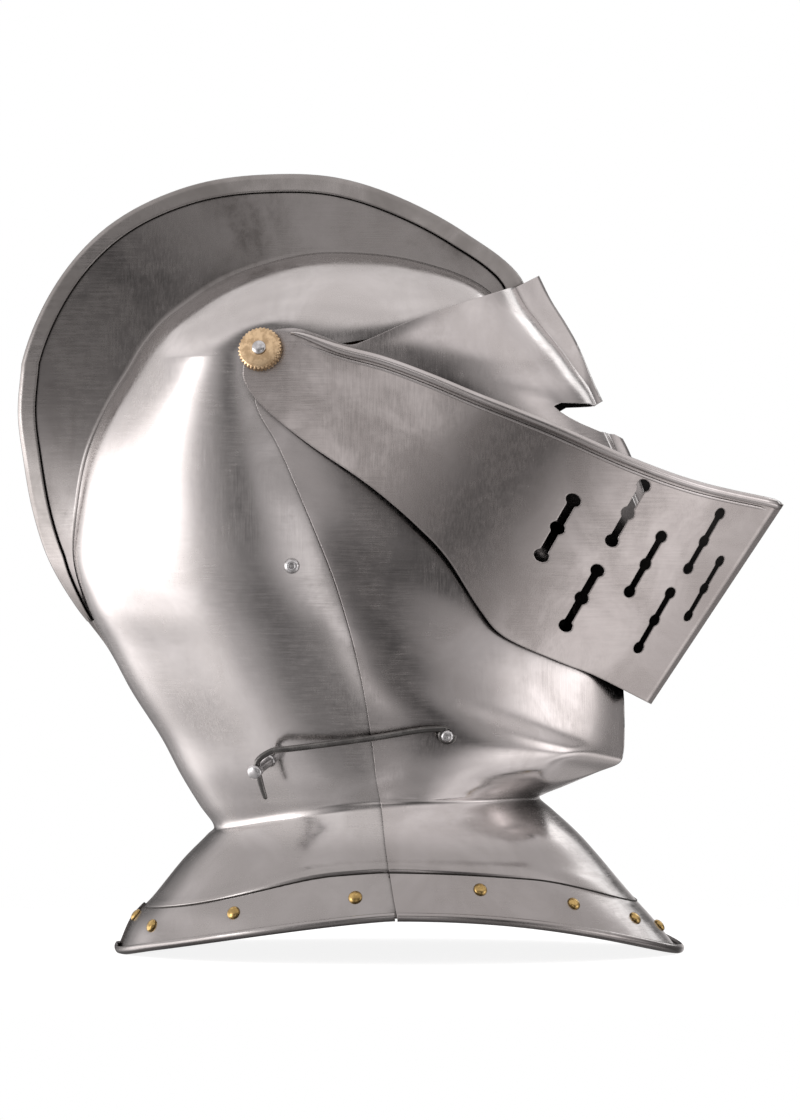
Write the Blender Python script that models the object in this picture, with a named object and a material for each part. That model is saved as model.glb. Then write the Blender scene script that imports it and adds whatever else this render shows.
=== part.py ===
"""Close helmet with a comb, a swinging bevor, a visor, a ventail and a hook latch.

Frame: +Z up, the face looks along -Y, X = 0 is the plane of symmetry and the wearer's right is -X.
The helmet stands on its collar at z = 0.  Every dimension below is in millimetres and is scaled to
metres when a mesh is made.
"""

import math

import bmesh
import bpy
from mathutils import Matrix, Vector
from mathutils.bvhtree import BVHTree

MM = 0.001
CUT_REACH = 150.0           # half length of the cutters that run across the helmet

# ---------------------------------------------------------------- driving dimensions
PIVOT_Y = 58.6
PIVOT_Z = 286.3
SHEET = 1.5                 # steel thickness
GAP = 0.3                   # clearance between neighbouring pieces
HALF_SEAM = 0.15            # each skull half stops this far from the plane of symmetry
SKULL_HALF_WIDTH = 88.5     # outer face of the skull at the pivot
BEVOR_HALF_WIDTH = 90.9
VISOR_HALF_WIDTH = 93.3
VENTAIL_HALF_WIDTH = 95.7
LAP_CLEARANCE = BEVOR_HALF_WIDTH - SKULL_HALF_WIDTH
EAR_FLAT = 12.0             # radius of the flat round each pivot
LAP = 12.0                  # how far the skull runs forward under the bevor
COMB_EDGE = 2.2             # half thickness of the comb at its crest
CREST_SHORT = 1.6           # the comb's plates end this far under the binding's crest
BINDING_SHEET = 0.8
BINDING_DEPTH = 9.0
BINDING_END = 5.4           # body station where the binding stops
ROLL_RADIUS = 2.4           # rolled edge of the collar, outside
RIM_RADIUS = 2.2            # rolled rim of the ventail, outside
RIM_KEEL_INSET = 3.6        # the rim's centre lies this far back where it turns over the keel
BORDER_STEP = 0.8           # depth of the recessed border on the collar
KEEL_HALF_BAND = 9.0        # half width of the raised keel on the visor
VISOR_FULLNESS = ((5.0, 2.15), (-22.0, 1.7))    # exponent of the visor's plan curve over the angle
VENTAIL_FULLNESS = 2.4      # exponent of the ventail's plan curve
PIVOT_HOLE = 4.1
STUD_RADIUS = 2.25
STUD_TILT = 20.0            # degrees the stud leans up and back from the X axis
NUT_RADIUS = 10.5
NUT_HEIGHT = 4.8
NUT_TEETH = 34
WASHER_RADIUS = 7.3
ROD_RADIUS = 1.5
SLOT_HALF_LENGTH = 15.2     # centre to the centre of an end lobe
SLOT_HALF_WIDTH = 1.6
SLOT_LOBE = 2.95
SLOT_LEAN = (0.5, -0.866)   # direction of a slot in the side view (y, z)
# Breath slots, on the right side only: centre y, z, and the share of the slot's width that the side view shows.
SLOTS = (
    (-78.2, 205.7, 1.27), (-111.4, 212.8, 1.10), (-147.8, 199.5, 0.74), (-89.3, 172.2, 1.14),
    (-119.7, 188.4, 0.89), (-123.9, 161.3, 0.78), (-147.8, 176.6, 0.61),
)
LATCH_AXIS = (-1.0, 0.0, -0.30)
LATCH_LIFT = 2.4            # gap between the bevor and the hook's loop
LATCH_PIN = 1.3             # radius of the rivet that the hook turns on
# Stations of the hook's bar: distance from the rivet, rise, stand-off, and share of the eye's stand-off.
HOOK_BAR = (
    (0.0, 3.2, 0.0, 0.0), (12.0, 5.4, 2.6, 0.05), (30.0, 6.4, 4.6, 0.25), (52.0, 7.4, 4.6, 0.5),
    (74.0, 8.4, 3.0, 0.8),
)
LATCH_STAND_OFF = 13.6      # from the skull to the eye of the latch stud
FACET_SLOPE = 1.7           # half width of the flat chin facet for each millimetre behind its edge
FACET_END = 8.0             # body station where the chin facet runs out

# mesh density
FAN_ROWS = 14
BODY_ROWS = 16
REAR_COLUMNS = 7
COMB_COLUMNS = 2
LAP_COLUMNS = 1
FRONT_COLUMNS = 11
PLATE_ROWS = 5
PLATE_COLUMNS = 13
ROLL_STEPS = 3
RIM_START = 3               # columns of the ventail between its ear and the start of the rim
SLOT_STEPS = 12

# Stations of the fan round the pivot: angle above the front, crease radius, comb radius.
FAN = (
    (10.0, 112.0, 119.0), (18.5, 107.0, 125.0), (34.7, 83.8, 110.7), (52.0, 66.0, 100.5),
    (72.0, 54.5, 94.8), (95.0, 47.5, 92.4), (120.0, 46.6, 98.2), (145.0, 51.0, 109.3),
    (165.0, 60.5, 118.6), (180.0, 69.5, 126.6),
)
# Stations of the lower body, from the pivot down to the collar's edge:
# spine y, z, half width, front y, z, front exponent, drop exponent,
# crease y, z, half thickness there, comb crest y, z, half thickness there, seam y
BODY = (
    (58.6, 286.3, 88.5, -99.0, 190.0, 1.60, 1.0, 128.1, 286.3, 13.0, 185.2, 286.3, 2.2, 62.0),
    (57.0, 264.0, 89.0, -104.0, 160.0, 1.60, 1.0, 141.5, 264.0, 13.0, 187.0, 262.5, 2.2, 63.3),
    (53.0, 240.0, 90.0, -107.5, 140.0, 1.55, 1.0, 151.3, 240.5, 12.5, 184.5, 240.5, 2.2, 49.8),
    (47.0, 214.0, 91.0, -109.0, 124.0, 1.42, 1.0, 156.3, 213.5, 11.5, 179.8, 214.5, 2.2, 37.0),
    (40.0, 190.0, 91.0, -109.3, 113.0, 1.38, 1.0, 157.6, 190.0, 10.0, 171.9, 190.4, 2.1, 27.0),
    (33.0, 168.0, 89.8, -109.3, 105.0, 1.39, 1.0, 151.5, 168.0, 7.0, 158.8, 168.0, 1.9, 20.5),
    (27.5, 148.0, 87.3, -108.8, 97.0, 1.44, 1.0, 141.9, 148.0, 3.0, 143.2, 148.0, 0.9, 15.7),
    (22.0, 126.0, 84.0, -106.5, 91.5, 1.60, 1.0, 130.4, 126.0, 0.6, 131.0, 126.0, 0.15, 11.7),
    (17.0, 104.0, 80.0, -96.0, 87.2, 1.70, 1.0, 116.2, 104.0, 0.6, 116.8, 104.0, 0.15, 8.8),
    (13.0, 88.0, 76.5, -80.0, 80.5, 1.75, 1.0, 106.6, 86.0, 0.6, 107.2, 86.0, 0.15, 7.2),
    (9.5, 78.5, 73.6, -70.3, 76.6, 1.80, 1.0, 97.4, 71.0, 0.6, 98.0, 71.0, 0.15, 5.8),
    (8.0, 74.3, 72.6, -68.2, 74.4, 1.80, 1.0, 90.4, 61.0, 0.6, 91.0, 61.0, 0.15, 5.1),
    (6.0, 68.0, 75.0, -75.0, 68.4, 1.80, 1.0, 93.6, 56.5, 0.6, 94.2, 56.5, 0.15, 4.2),
    (3.5, 55.0, 83.5, -89.5, 54.8, 1.85, 1.2, 105.4, 44.5, 0.6, 106.0, 44.5, 0.15, 2.4),
    (1.0, 41.0, 93.0, -112.0, 28.5, 1.85, 2.0, 119.6, 27.0, 0.6, 120.2, 27.0, 0.15, -0.3),
    (-1.0, 31.5, 99.0, -125.0, 14.0, 1.85, 2.1, 129.8, 15.5, 0.6, 130.4, 15.5, 0.15, -2.2),
    (-3.0, 22.8, 104.3, -135.2, 1.45, 1.85, 2.2, 136.0, 1.4, 0.6, 136.6, 1.4, 0.15, -4.2),
)
REAR_LIFT = ((60.0, 0.0), (25.0, -0.6), (0.0, 0.9))    # rise of the rear edge over the distance from X = 0
STEP_STATION = 14.0
EDGE_STATION = 16.0
# Bevor rows above the seam: the ear's outline point and the front point of each.
BEVOR_TOP = (
    ((55.0, 296.0), (-93.0, 205.0)),
    ((63.0, 293.4), (-96.0, 197.0)),
    ((67.0, 284.0), (-99.0, 190.0)),
)
# Visor: upper edge, lower edge and the keel's radius and depth over the angle above the front.
VISOR_TOP = (
    (69.0, 289.0), (63.0, 296.0), (54.0, 299.0), (44.0, 299.6), (33.0, 296.4), (20.0, 291.9),
    (9.7, 294.8), (-10.0, 304.0), (-30.0, 311.6), (-50.0, 319.3), (-67.7, 328.7),
)
VISOR_BOTTOM = (
    (69.0, 283.0), (65.5, 276.0), (58.0, 272.5), (48.0, 272.0), (36.0, 266.0), (20.0, 256.0),
    (4.0, 248.0), (-25.0, 234.0), (-60.0, 217.0), (-95.0, 201.0), (-127.0, 190.0),
)
VISOR_KEEL = (
    (-67.7, 328.7), (-73.8, 316.5), (-80.8, 305.4), (-87.3, 293.6), (-95.6, 274.2), (-104.0, 257.5),
    (-112.5, 241.0), (-121.5, 215.0), (-127.0, 190.0),
)
KEEL_DEPTH = ((18.6, 13.0), (8.0, 12.0), (-0.5, 8.0), (-5.7, 4.4), (-9.0, 3.2), (-30.0, 3.0))
SIGHT = (
    (-76.3, 263.8), (-79.7, 265.6), (-95.0, 265.6), (-99.8, 268.2), (-130.0, 280.0), (-130.0, 245.0),
    (-111.0, 245.5), (-108.6, 249.3), (-104.6, 251.4), (-97.9, 252.2), (-89.5, 255.6), (-83.5, 258.6),
    (-78.9, 261.5),
)
# Ventail: upper rim and lower edge, from the ear to the keel.
VENTAIL_TOP = (
    (68.6, 289.5), (63.5, 295.2), (56.0, 297.4), (48.0, 297.4), (40.6, 296.0), (23.3, 289.6),
    (2.8, 284.2), (-18.7, 276.3), (-39.7, 267.6), (-61.3, 259.2), (-79.6, 251.8), (-113.6, 237.0),
    (-146.1, 225.8), (-186.5, 217.2),
)
VENTAIL_BOTTOM = (
    (68.9, 282.5), (68.8, 275.6), (63.5, 266.8), (54.5, 257.8), (37.5, 244.5), (17.0, 230.7),
    (3.0, 220.1), (-12.8, 206.0), (-26.7, 190.9), (-41.5, 167.0), (-53.1, 153.6), (-78.9, 141.4),
    (-95.9, 134.4), (-122.2, 120.3),
)
REAR_RIVETS = ((16.0, 31.6), (74.7, 23.2), (116.9, 14.8))
FRONT_RIVETS = ((-42.5, 35.0), (-86.0, 27.1), (-114.7, 18.3))
REAR_CENTRE_RIVET_X = 9.0
STRAP_RIVET = (46.3, 187.6)
LATCH_RIVET = (-26.5, 108.8)
LATCH_STUD = (58.5, 95.0)


# ---------------------------------------------------------------- helpers
def blend(table, u):
    """Catmull-Rom through the table's rows, at row number u."""
    last = len(table) - 1
    i = min(int(max(u, 0.0)), last - 1)
    t = min(max(u - i, 0.0), 1.0)
    b, c = table[i], table[i + 1]
    a = table[i - 1] if i else [2 * p - q for p, q in zip(b, c)]
    d = table[i + 2] if i + 2 <= last else [2 * q - p for p, q in zip(b, c)]
    return [
        0.5 * (2 * q + (r - p) * t + (2 * p - 5 * q + 4 * r - s) * t * t + (3 * q - p - 3 * r + s) * t ** 3)
        for p, q, r, s in zip(a, b, c, d)
    ]


def lookup(table, key):
    """Linear interpolation in a table of (key, value) with falling keys."""
    for (k0, v0), (k1, v1) in zip(table, table[1:]):
        if key >= k1:
            t = min(max((k0 - key) / (k0 - k1), 0.0), 1.0)
            return v0 + (v1 - v0) * t
    return table[-1][1]


def clamp(value, low, high):
    return min(max(value, low), high)


def section(distance, flat, length, width, floor, exponent):
    """Half width at a distance from the widest point: level, then a superellipse down to floor."""
    t = clamp((distance - flat) / (length - flat), 0.0, 1.0)
    return floor + (width - floor) * (1.0 - t ** exponent) ** (1.0 / exponent)


def fan_position(angle, radius):
    a = math.radians(angle)
    return PIVOT_Y - radius * math.cos(a), PIVOT_Z + radius * math.sin(a)


def to_polar(y, z):
    """Distance from the pivot axis, and angle above the front in degrees."""
    return math.hypot(PIVOT_Y - y, z - PIVOT_Z), math.degrees(math.atan2(z - PIVOT_Z, PIVOT_Y - y))


def vertex_normals(points, faces):
    normals = [Vector() for _ in points]
    for face in faces:
        corners = [Vector(points[i]) for i in face]
        normal = Vector()
        for a, b in zip(corners, corners[1:] + corners[:1]):
            normal += a.cross(b)
        for i in face:
            normals[i] += normal
    return [n.normalized() for n in normals]


class Sheet:
    """An open surface collected face by face, then thickened inwards into a closed plate."""

    def __init__(self):
        self.points = []
        self.index = {}
        self.faces = []

    def vertex(self, point):
        key = tuple(round(c, 4) for c in point)
        if key not in self.index:
            self.index[key] = len(self.points)
            self.points.append(tuple(point))
        return self.index[key]

    def face(self, *corners):
        loop = []
        for corner in corners:
            i = self.vertex(corner)
            if i not in loop:
                loop.append(i)
        if len(loop) > 2:
            self.faces.append(loop)

    def grid(self, rows):
        for upper, lower in zip(rows, rows[1:]):
            for a, b, c, d in zip(upper, lower, lower[1:], upper[1:]):
                self.face(a, b, c, d)

    def solid(self, thickness, level_seam=False):
        """Closed points and faces.  With level_seam, offsets near X = 0 stay in their own X plane."""
        normals = vertex_normals(self.points, self.faces)
        count = len(self.points)
        inner = []
        for point, normal in zip(self.points, normals):
            if level_seam and abs(point[0]) < 0.2:
                normal = Vector((0.0, normal.y, normal.z)).normalized()
            moved = Vector(point) - normal * thickness
            if level_seam:
                moved.x = math.copysign(max(abs(moved.x), HALF_SEAM), point[0])
            inner.append(tuple(moved))
        faces = [list(f) for f in self.faces]
        faces += [[i + count for i in reversed(f)] for f in self.faces]
        edges = {}
        for f in self.faces:
            for a, b in zip(f, f[1:] + f[:1]):
                edges[(a, b)] = True
        for a, b in edges:
            if (b, a) not in edges:
                faces.append([b, a, a + count, b + count])
        return self.points + inner, faces


def material(name, color, roughness, metallic):
    found = bpy.data.materials.get(name)
    if found:
        return found
    made = bpy.data.materials.new(name)
    made.use_nodes = True
    shader = made.node_tree.nodes["Principled BSDF"]
    shader.inputs["Base Color"].default_value = (*color, 1.0)
    shader.inputs["Roughness"].default_value = roughness
    shader.inputs["Metallic"].default_value = metallic
    return made


def steel():
    return material("polished_steel", (0.56, 0.55, 0.55), 0.28, 1.0)


def dark_steel():
    return material("rivet_steel", (0.50, 0.50, 0.51), 0.32, 1.0)


def brass():
    return material("brass", (0.74, 0.55, 0.25), 0.30, 1.0)


def leather():
    return material("leather", (0.23, 0.12, 0.06), 0.65, 0.0)


def add_object(name, points, faces, look, smooth_angle=35.0, parent=None):
    mesh = bpy.data.meshes.new(name)
    mesh.from_pydata([[c * MM for c in p] for p in points], [], faces)
    mesh.materials.append(look)
    return add_mesh(name, mesh, smooth_angle, parent)


def add_mesh(name, mesh, smooth_angle=35.0, parent=None):
    body = bmesh.new()
    body.from_mesh(mesh)
    bmesh.ops.recalc_face_normals(body, faces=body.faces)
    body.to_mesh(mesh)
    body.free()
    mesh.shade_smooth()
    mesh.set_sharp_from_angle(angle=math.radians(smooth_angle))
    obj = bpy.data.objects.new(name, mesh)
    bpy.context.scene.collection.objects.link(obj)
    if parent:
        obj.parent = parent
        obj.matrix_parent_inverse = parent.matrix_world.inverted()
    return obj


def axis_empty(name, position, direction):
    """An empty whose Z axis lies on a joint's axis."""
    empty = bpy.data.objects.new(name, None)
    rotation = Vector(direction).to_track_quat("Z", "Y").to_matrix().to_4x4()
    empty.matrix_world = Matrix.Translation(Vector(position) * MM) @ rotation
    bpy.context.scene.collection.objects.link(empty)
    bpy.context.view_layer.update()
    return empty


def cutter(name, points, faces):
    mesh = bpy.data.meshes.new(name)
    mesh.from_pydata([[c * MM for c in p] for p in points], [], faces)
    obj = add_mesh(name, mesh)
    obj.hide_render = True
    obj.display_type = "WIRE"
    return obj


def side_prism(name, outline, low=-CUT_REACH, high=CUT_REACH):
    """A prism along X whose section is an outline in the side view."""
    count = len(outline)
    points = [(low, y, z) for y, z in outline] + [(high, y, z) for y, z in outline]
    faces = [list(range(count)), list(range(2 * count - 1, count - 1, -1))]
    faces += [[i, (i + 1) % count, (i + 1) % count + count, i + count] for i in range(count)]
    return cutter(name, points, faces)


def rod(name, centre, direction, radius, half_length, sides=16):
    """A straight round cutter."""
    points, faces = turned_profile([(radius, -half_length), (radius, half_length)], sides)
    turn = Vector(direction).to_track_quat("Z", "Y").to_matrix()
    return cutter(name, [tuple(turn @ Vector(p) + Vector(centre)) for p in points], faces)


def cut(target, *cutters):
    for tool in cutters:
        modifier = target.modifiers.new(tool.name, "BOOLEAN")
        modifier.operation = "DIFFERENCE"
        modifier.solver = "EXACT"
        modifier.object = tool


def join(target, other):
    modifier = target.modifiers.new(other.name, "BOOLEAN")
    modifier.operation = "UNION"
    modifier.solver = "EXACT"
    modifier.object = other


def turned_profile(profile, sides):
    """Closed points and faces of a profile of (radius, height) turned round Z, bottom to top."""
    points, faces, rings = [], [], []
    for radius, height in profile:
        if radius < 1e-6:
            rings.append([len(points)] * sides)
            points.append((0.0, 0.0, height))
            continue
        rings.append(list(range(len(points), len(points) + sides)))
        for k in range(sides):
            a = 2 * math.pi * k / sides
            points.append((radius * math.cos(a), radius * math.sin(a), height))
    for low, high in zip(rings, rings[1:]):
        for k in range(sides):
            m = (k + 1) % sides
            loop = []
            for i in (low[k], low[m], high[m], high[k]):
                if i not in loop:
                    loop.append(i)
            if len(loop) > 2:
                faces.append(loop)
    if profile[0][0] > 1e-6:
        faces.append(list(reversed(rings[0])))
    if profile[-1][0] > 1e-6:
        faces.append(list(rings[-1]))
    return points, faces


def placed(points, centre, direction):
    turn = Vector(direction).to_track_quat("Z", "Y").to_matrix()
    return [tuple(turn @ Vector(p) + Vector(centre)) for p in points]


def surface_hit(tree, origin, direction):
    """Point and outward normal where a ray first meets a surface."""
    hit, normal, _, _ = tree.ray_cast(Vector(origin), Vector(direction))
    if normal.dot(Vector(direction)) > 0:
        normal = -normal
    return hit, normal


def tree_of(sheet):
    return BVHTree.FromPolygons([Vector(p) for p in sheet.points], sheet.faces)


# ---------------------------------------------------------------- skull and bevor surfaces
def step_depth(u):
    """How far the recessed border lies under the collar's surface at station u."""
    return BORDER_STEP * clamp((u - STEP_STATION) / 0.12, 0.0, 1.0)


def ear_flat(u):
    """Radius of the level patch round the widest point, fading out down the body."""
    return EAR_FLAT * clamp(1.0 - u / 5.0, 0.0, 1.0)


def rear_point(u, t, row=None):
    """Skull surface of the right side behind the spine; t runs 0 to 1 over the bowl, 1 to 2 over the comb."""
    if row is None:
        row = blend(BODY, u)
    oy, oz, width, _, _, _, _, cy, cz, c, ey, ez, e = row[:13]
    length = math.hypot(cy - oy, cz - oz)
    if t <= 1.0:
        s = math.sin(t * math.pi / 2)
        x = section(s * length, ear_flat(u), length, width, c, 2.05)
        fall = s ** 1.3
        y, z = oy + (cy - oy) * s, oz + (cz - oz) * fall + lookup(REAR_LIFT, x) * clamp(u / 2 - 7.0, 0.0, 1.0)
    else:
        height = math.hypot(ey - cy, ez - cz)
        s = (t - 1.0) * (1.0 - CREST_SHORT / height if height > 8.0 else 1.0 - 0.025 * height)
        x = c + (e - c) * s
        y, z = cy + (ey - cy) * s, cz + (ez - cz) * s + lookup(REAR_LIFT, 0.0) * clamp(u / 2 - 7.0, 0.0, 1.0)
    return -(x - step_depth(u) * (1.0 if t < 1.0 else 0.0)), y, z


def front_point(u, y, offset=0.0):
    """Bevor surface of the right side at station u, where it passes y; offset shifts it outwards."""
    oy, oz, width, fy, fz, exponent, drop = blend(BODY, u)[:7]
    s = clamp((oy - y) / (oy - fy), 0.0, 1.0)
    z = oz + (fz - oz) * s ** drop
    span = math.hypot(oy - fy, oz - fz)
    distance = math.hypot(oy - y, oz - z)
    x = section(distance, ear_flat(u), span, width + offset, 0.0, exponent)
    facet = FACET_SLOPE * (y - fy) + width * clamp(u - FACET_END, 0.0, 1.0)
    x = min(x, max(facet, 0.0))
    return -(x - step_depth(u) * clamp(x / 20.0, 0.0, 1.0)), y, z


def fan_point(v, t):
    """Skull surface of the right side above the pivot, at fan station v."""
    angle, crease, crest = blend(FAN, v)
    comb_base = 13.0
    cy, cz = fan_position(angle, crease)
    ey, ez = fan_position(angle, crest)
    row = [PIVOT_Y, PIVOT_Z, SKULL_HALF_WIDTH, 0, 0, 0, 0, cy, cz, comb_base, ey, ez, COMB_EDGE]
    if t <= 1.0:
        s = math.sin(t * math.pi / 2)
        x = section(s * crease, EAR_FLAT, crease, SKULL_HALF_WIDTH, comb_base, 2.05)
        return -x, PIVOT_Y + (cy - PIVOT_Y) * s, PIVOT_Z + (cz - PIVOT_Z) * s
    return rear_point(0.0, t, row)


def mirrored(point, side):
    return (point[0] if side < 0 else -point[0], point[1], point[2])


def skull_sheet(side):
    """Outer surface of one half of the skull; side is -1 for the right and 1 for the left."""
    sheet = Sheet()
    bowl = [i / REAR_COLUMNS for i in range(REAR_COLUMNS + 1)]
    comb = [1.0 + i / COMB_COLUMNS for i in range(1, COMB_COLUMNS + 1)]
    columns = bowl + comb
    last = len(FAN) - 1
    fan = []
    for i in range(FAN_ROWS + 1):
        fan.append([fan_point(last * i / FAN_ROWS, t) for t in columns])
    rows = []
    for u in body_stations():
        seam = blend(BODY, u)[13]
        edge = min(seam, blend(BODY, u)[0]) - LAP
        spine = blend(BODY, u)[0]
        lap = [front_point(u, edge + (spine - edge) * k / LAP_COLUMNS) for k in range(LAP_COLUMNS)]
        rows.append(lap + [rear_point(u, t) for t in columns])
    rows[0][0] = fan[0][1]
    behind = [row[LAP_COLUMNS:] for row in rows]
    rolled = behind[-1:] + roll_rows(behind, ROLL_RADIUS)
    for grid in (fan, rows, rolled):
        grid = [[mirrored(p, side) for p in row] for row in grid]
        if side < 0:
            grid = [list(reversed(row)) for row in grid]
        sheet.grid(grid)
    return sheet


def body_stations():
    """Station numbers down the body, closer at the waist and on both sides of the border's step."""
    plain = [EDGE_STATION * i / BODY_ROWS for i in range(BODY_ROWS + 1)]
    near = (STEP_STATION, STEP_STATION + 0.12)
    kept = [u for u in plain if all(abs(u - v) > 0.25 for v in near)]
    return sorted(kept + list(near))


def roll_rows(rows, outside):
    """Rows that roll the lowest edge of a right-hand grid outwards and up."""
    inside = outside - SHEET
    normals = grid_normals(rows)
    made = []
    for k in range(1, ROLL_STEPS + 1):
        a = math.radians(205.0) * k / ROLL_STEPS
        row = []
        for j, edge in enumerate(rows[-1]):
            edge = Vector(edge)
            tangent = (edge - Vector(rows[-2][j])).normalized()
            normal = normals[j]
            normal = (normal - tangent * normal.dot(tangent)).normalized()
            centre = edge + normal * inside
            row.append(tuple(centre - normal * inside * math.cos(a) + tangent * inside * math.sin(a)))
        made.append(row)
    return made


def grid_normals(rows):
    """Outward normals along the last row of a grid on the right side."""
    found = []
    last, before = rows[-1], rows[-2]
    for j in range(len(last)):
        along = Vector(last[min(j + 1, len(last) - 1)]) - Vector(last[max(j - 1, 0)])
        down = Vector(last[j]) - Vector(before[j])
        out = down.cross(along).normalized()
        found.append(-out if out.dot(Vector((last[j][0], last[j][1], 0.0))) < 0 else out)
    return found


# ---------------------------------------------------------------- bevor, visor and ventail surfaces
def mirror_rows(rows):
    """Right-hand rows that end on X = 0, carried on to the left side."""
    return [row + [(-x, y, z) for x, y, z in reversed(row[:-1])] for row in rows]


def front_share(k):
    """Columns of the bevor, closer together at the seam and at the chin."""
    return math.sin(k ** 1.35 * math.pi / 2)


def bevor_sheet():
    """Outer surface of the bevor, from the right seam round the chin to the left seam."""
    sheet = Sheet()
    rows = []
    for seam, front in BEVOR_TOP:
        rows.append([ear_row_point(seam, front, k / FRONT_COLUMNS) for k in range(FRONT_COLUMNS + 1)])
    for u in body_stations():
        if u < 0.4:
            continue
        seam = blend(BODY, u)[13]
        front = blend(BODY, u)[3]
        row = []
        for k in range(FRONT_COLUMNS + 1):
            s = front_share(k / FRONT_COLUMNS)
            row.append(front_point(u, seam + (front - seam) * s, LAP_CLEARANCE))
        row[-1] = (0.0, row[-1][1], row[-1][2])
        rows.append(row)
    rows += roll_rows(rows, ROLL_RADIUS)
    for row in rows:
        row[-1] = (0.0, row[-1][1], row[-1][2])
    sheet.grid(mirror_rows(rows))
    return sheet


def ear_row_point(seam, front, k):
    """A point of the bevor's upper rows, which run from the ear's outline to the front."""
    s = front_share(k)
    y = seam[0] + (front[0] - seam[0]) * s
    z = seam[1] + (front[1] - seam[1]) * s
    span = math.hypot(PIVOT_Y - front[0], PIVOT_Z - front[1])
    distance, _ = to_polar(y, z)
    if y > PIVOT_Y:
        distance = 0.0
    x = section(distance, EAR_FLAT, span, BEVOR_HALF_WIDTH, 0.0, 1.6)
    return (-x if k < 1.0 else 0.0), y, z


def keel_radius(angle):
    """Distance of the visor's keel from the pivot axis at an angle above the front."""
    polar = [to_polar(y, z) for y, z in VISOR_KEEL]
    return lookup([(a, r) for r, a in polar], angle)


def visor_half_width(radius, angle):
    keel = keel_radius(angle)
    crease = keel - lookup(KEEL_DEPTH, angle)
    if radius <= crease:
        fullness = lookup(VISOR_FULLNESS, angle)
        return section(radius, EAR_FLAT, crease, VISOR_HALF_WIDTH, KEEL_HALF_BAND, fullness)
    return KEEL_HALF_BAND * (1.0 - (radius - crease) / (keel - crease)) ** 0.8


def visor_sheet():
    sheet = Sheet()
    rows = []
    last = len(VISOR_TOP) - 1
    for i in range(PLATE_ROWS + 1):
        row = []
        b = i / PLATE_ROWS
        for k in range(PLATE_COLUMNS + 1):
            a = math.sin(k / PLATE_COLUMNS * math.pi / 2) ** 1.1
            upper, lower = blend(VISOR_TOP, a * last), blend(VISOR_BOTTOM, a * last)
            y, z = (p + (q - p) * b for p, q in zip(upper, lower))
            if k == PLATE_COLUMNS:
                y, z = blend(VISOR_KEEL, b * (len(VISOR_KEEL) - 1))
            radius, angle = to_polar(y, z)
            if y > PIVOT_Y:
                radius = 0.0
            row.append((-visor_half_width(radius, angle), y, z))
        row[-1] = (0.0, row[-1][1], row[-1][2])
        rows.append(row)
    sheet.grid(mirror_rows(rows))
    return sheet


def ventail_keel_radius(angle):
    """Distance of the ventail's straight keel from the pivot axis at an angle above the front."""
    (y0, z0), (y1, z1) = VENTAIL_TOP[-1], VENTAIL_BOTTOM[-1]
    a = math.radians(angle)
    dy, dz = -math.cos(a), math.sin(a)
    ky, kz = y1 - y0, z1 - z0
    py, pz = y0 - PIVOT_Y, z0 - PIVOT_Z
    return (py * kz - pz * ky) / (dy * kz - dz * ky)


def ventail_half_width(y, z):
    radius, angle = to_polar(y, z)
    if y > PIVOT_Y - EAR_FLAT:
        return VENTAIL_HALF_WIDTH
    t = clamp((radius - EAR_FLAT) / (ventail_keel_radius(angle) - EAR_FLAT), 0.0, 1.0)
    return VENTAIL_HALF_WIDTH * (1.0 - t ** VENTAIL_FULLNESS)


def rim_path(sheet, row):
    """Centre of the rolled rim: along the ventail's upper edge, with its inside flush with the plate's."""
    normals = vertex_normals(sheet.points, sheet.faces)
    path = []
    for point in row[RIM_START:len(row) - RIM_START]:
        normal = normals[sheet.vertex(point)]
        path.append(Vector(point) + normal * (RIM_RADIUS - SHEET))
    path[len(path) // 2].y += RIM_KEEL_INSET
    return path


def ventail_sheet():
    sheet = Sheet()
    rows = []
    last = len(VENTAIL_TOP) - 1
    for i in range(PLATE_ROWS + 1):
        row = []
        for k in range(PLATE_COLUMNS + 1):
            a = k / PLATE_COLUMNS * last
            upper, lower = blend(VENTAIL_TOP, a), blend(VENTAIL_BOTTOM, a)
            y, z = (p + (q - p) * i / PLATE_ROWS for p, q in zip(upper, lower))
            row.append((-ventail_half_width(y, z), y, z))
        row[-1] = (0.0, row[-1][1], row[-1][2])
        rows.append(row)
    rows = mirror_rows(rows)
    sheet.grid(rows)
    return sheet, rim_path(sheet, rows[0])


def dumbbell(y, z, share):
    """Outline of one breath slot: a narrow slot with a round lobe at its middle and both ends."""
    half = []
    reach = SLOT_HALF_LENGTH + SLOT_LOBE
    for k in range(SLOT_STEPS + 1):
        s = -reach * math.cos(math.pi * k / SLOT_STEPS)
        width = SLOT_HALF_WIDTH if abs(s) < SLOT_HALF_LENGTH else 0.0
        for lobe in (-SLOT_HALF_LENGTH, 0.0, SLOT_HALF_LENGTH):
            if abs(s - lobe) < SLOT_LOBE:
                width = max(width, math.sqrt(SLOT_LOBE ** 2 - (s - lobe) ** 2))
        half.append((s, width * share))
    outline = half + [(s, -w) for s, w in reversed(half[1:-1])]
    dy, dz = SLOT_LEAN
    return [(y + s * dy - w * dz, z + s * dz + w * dy) for s, w in outline]


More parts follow.
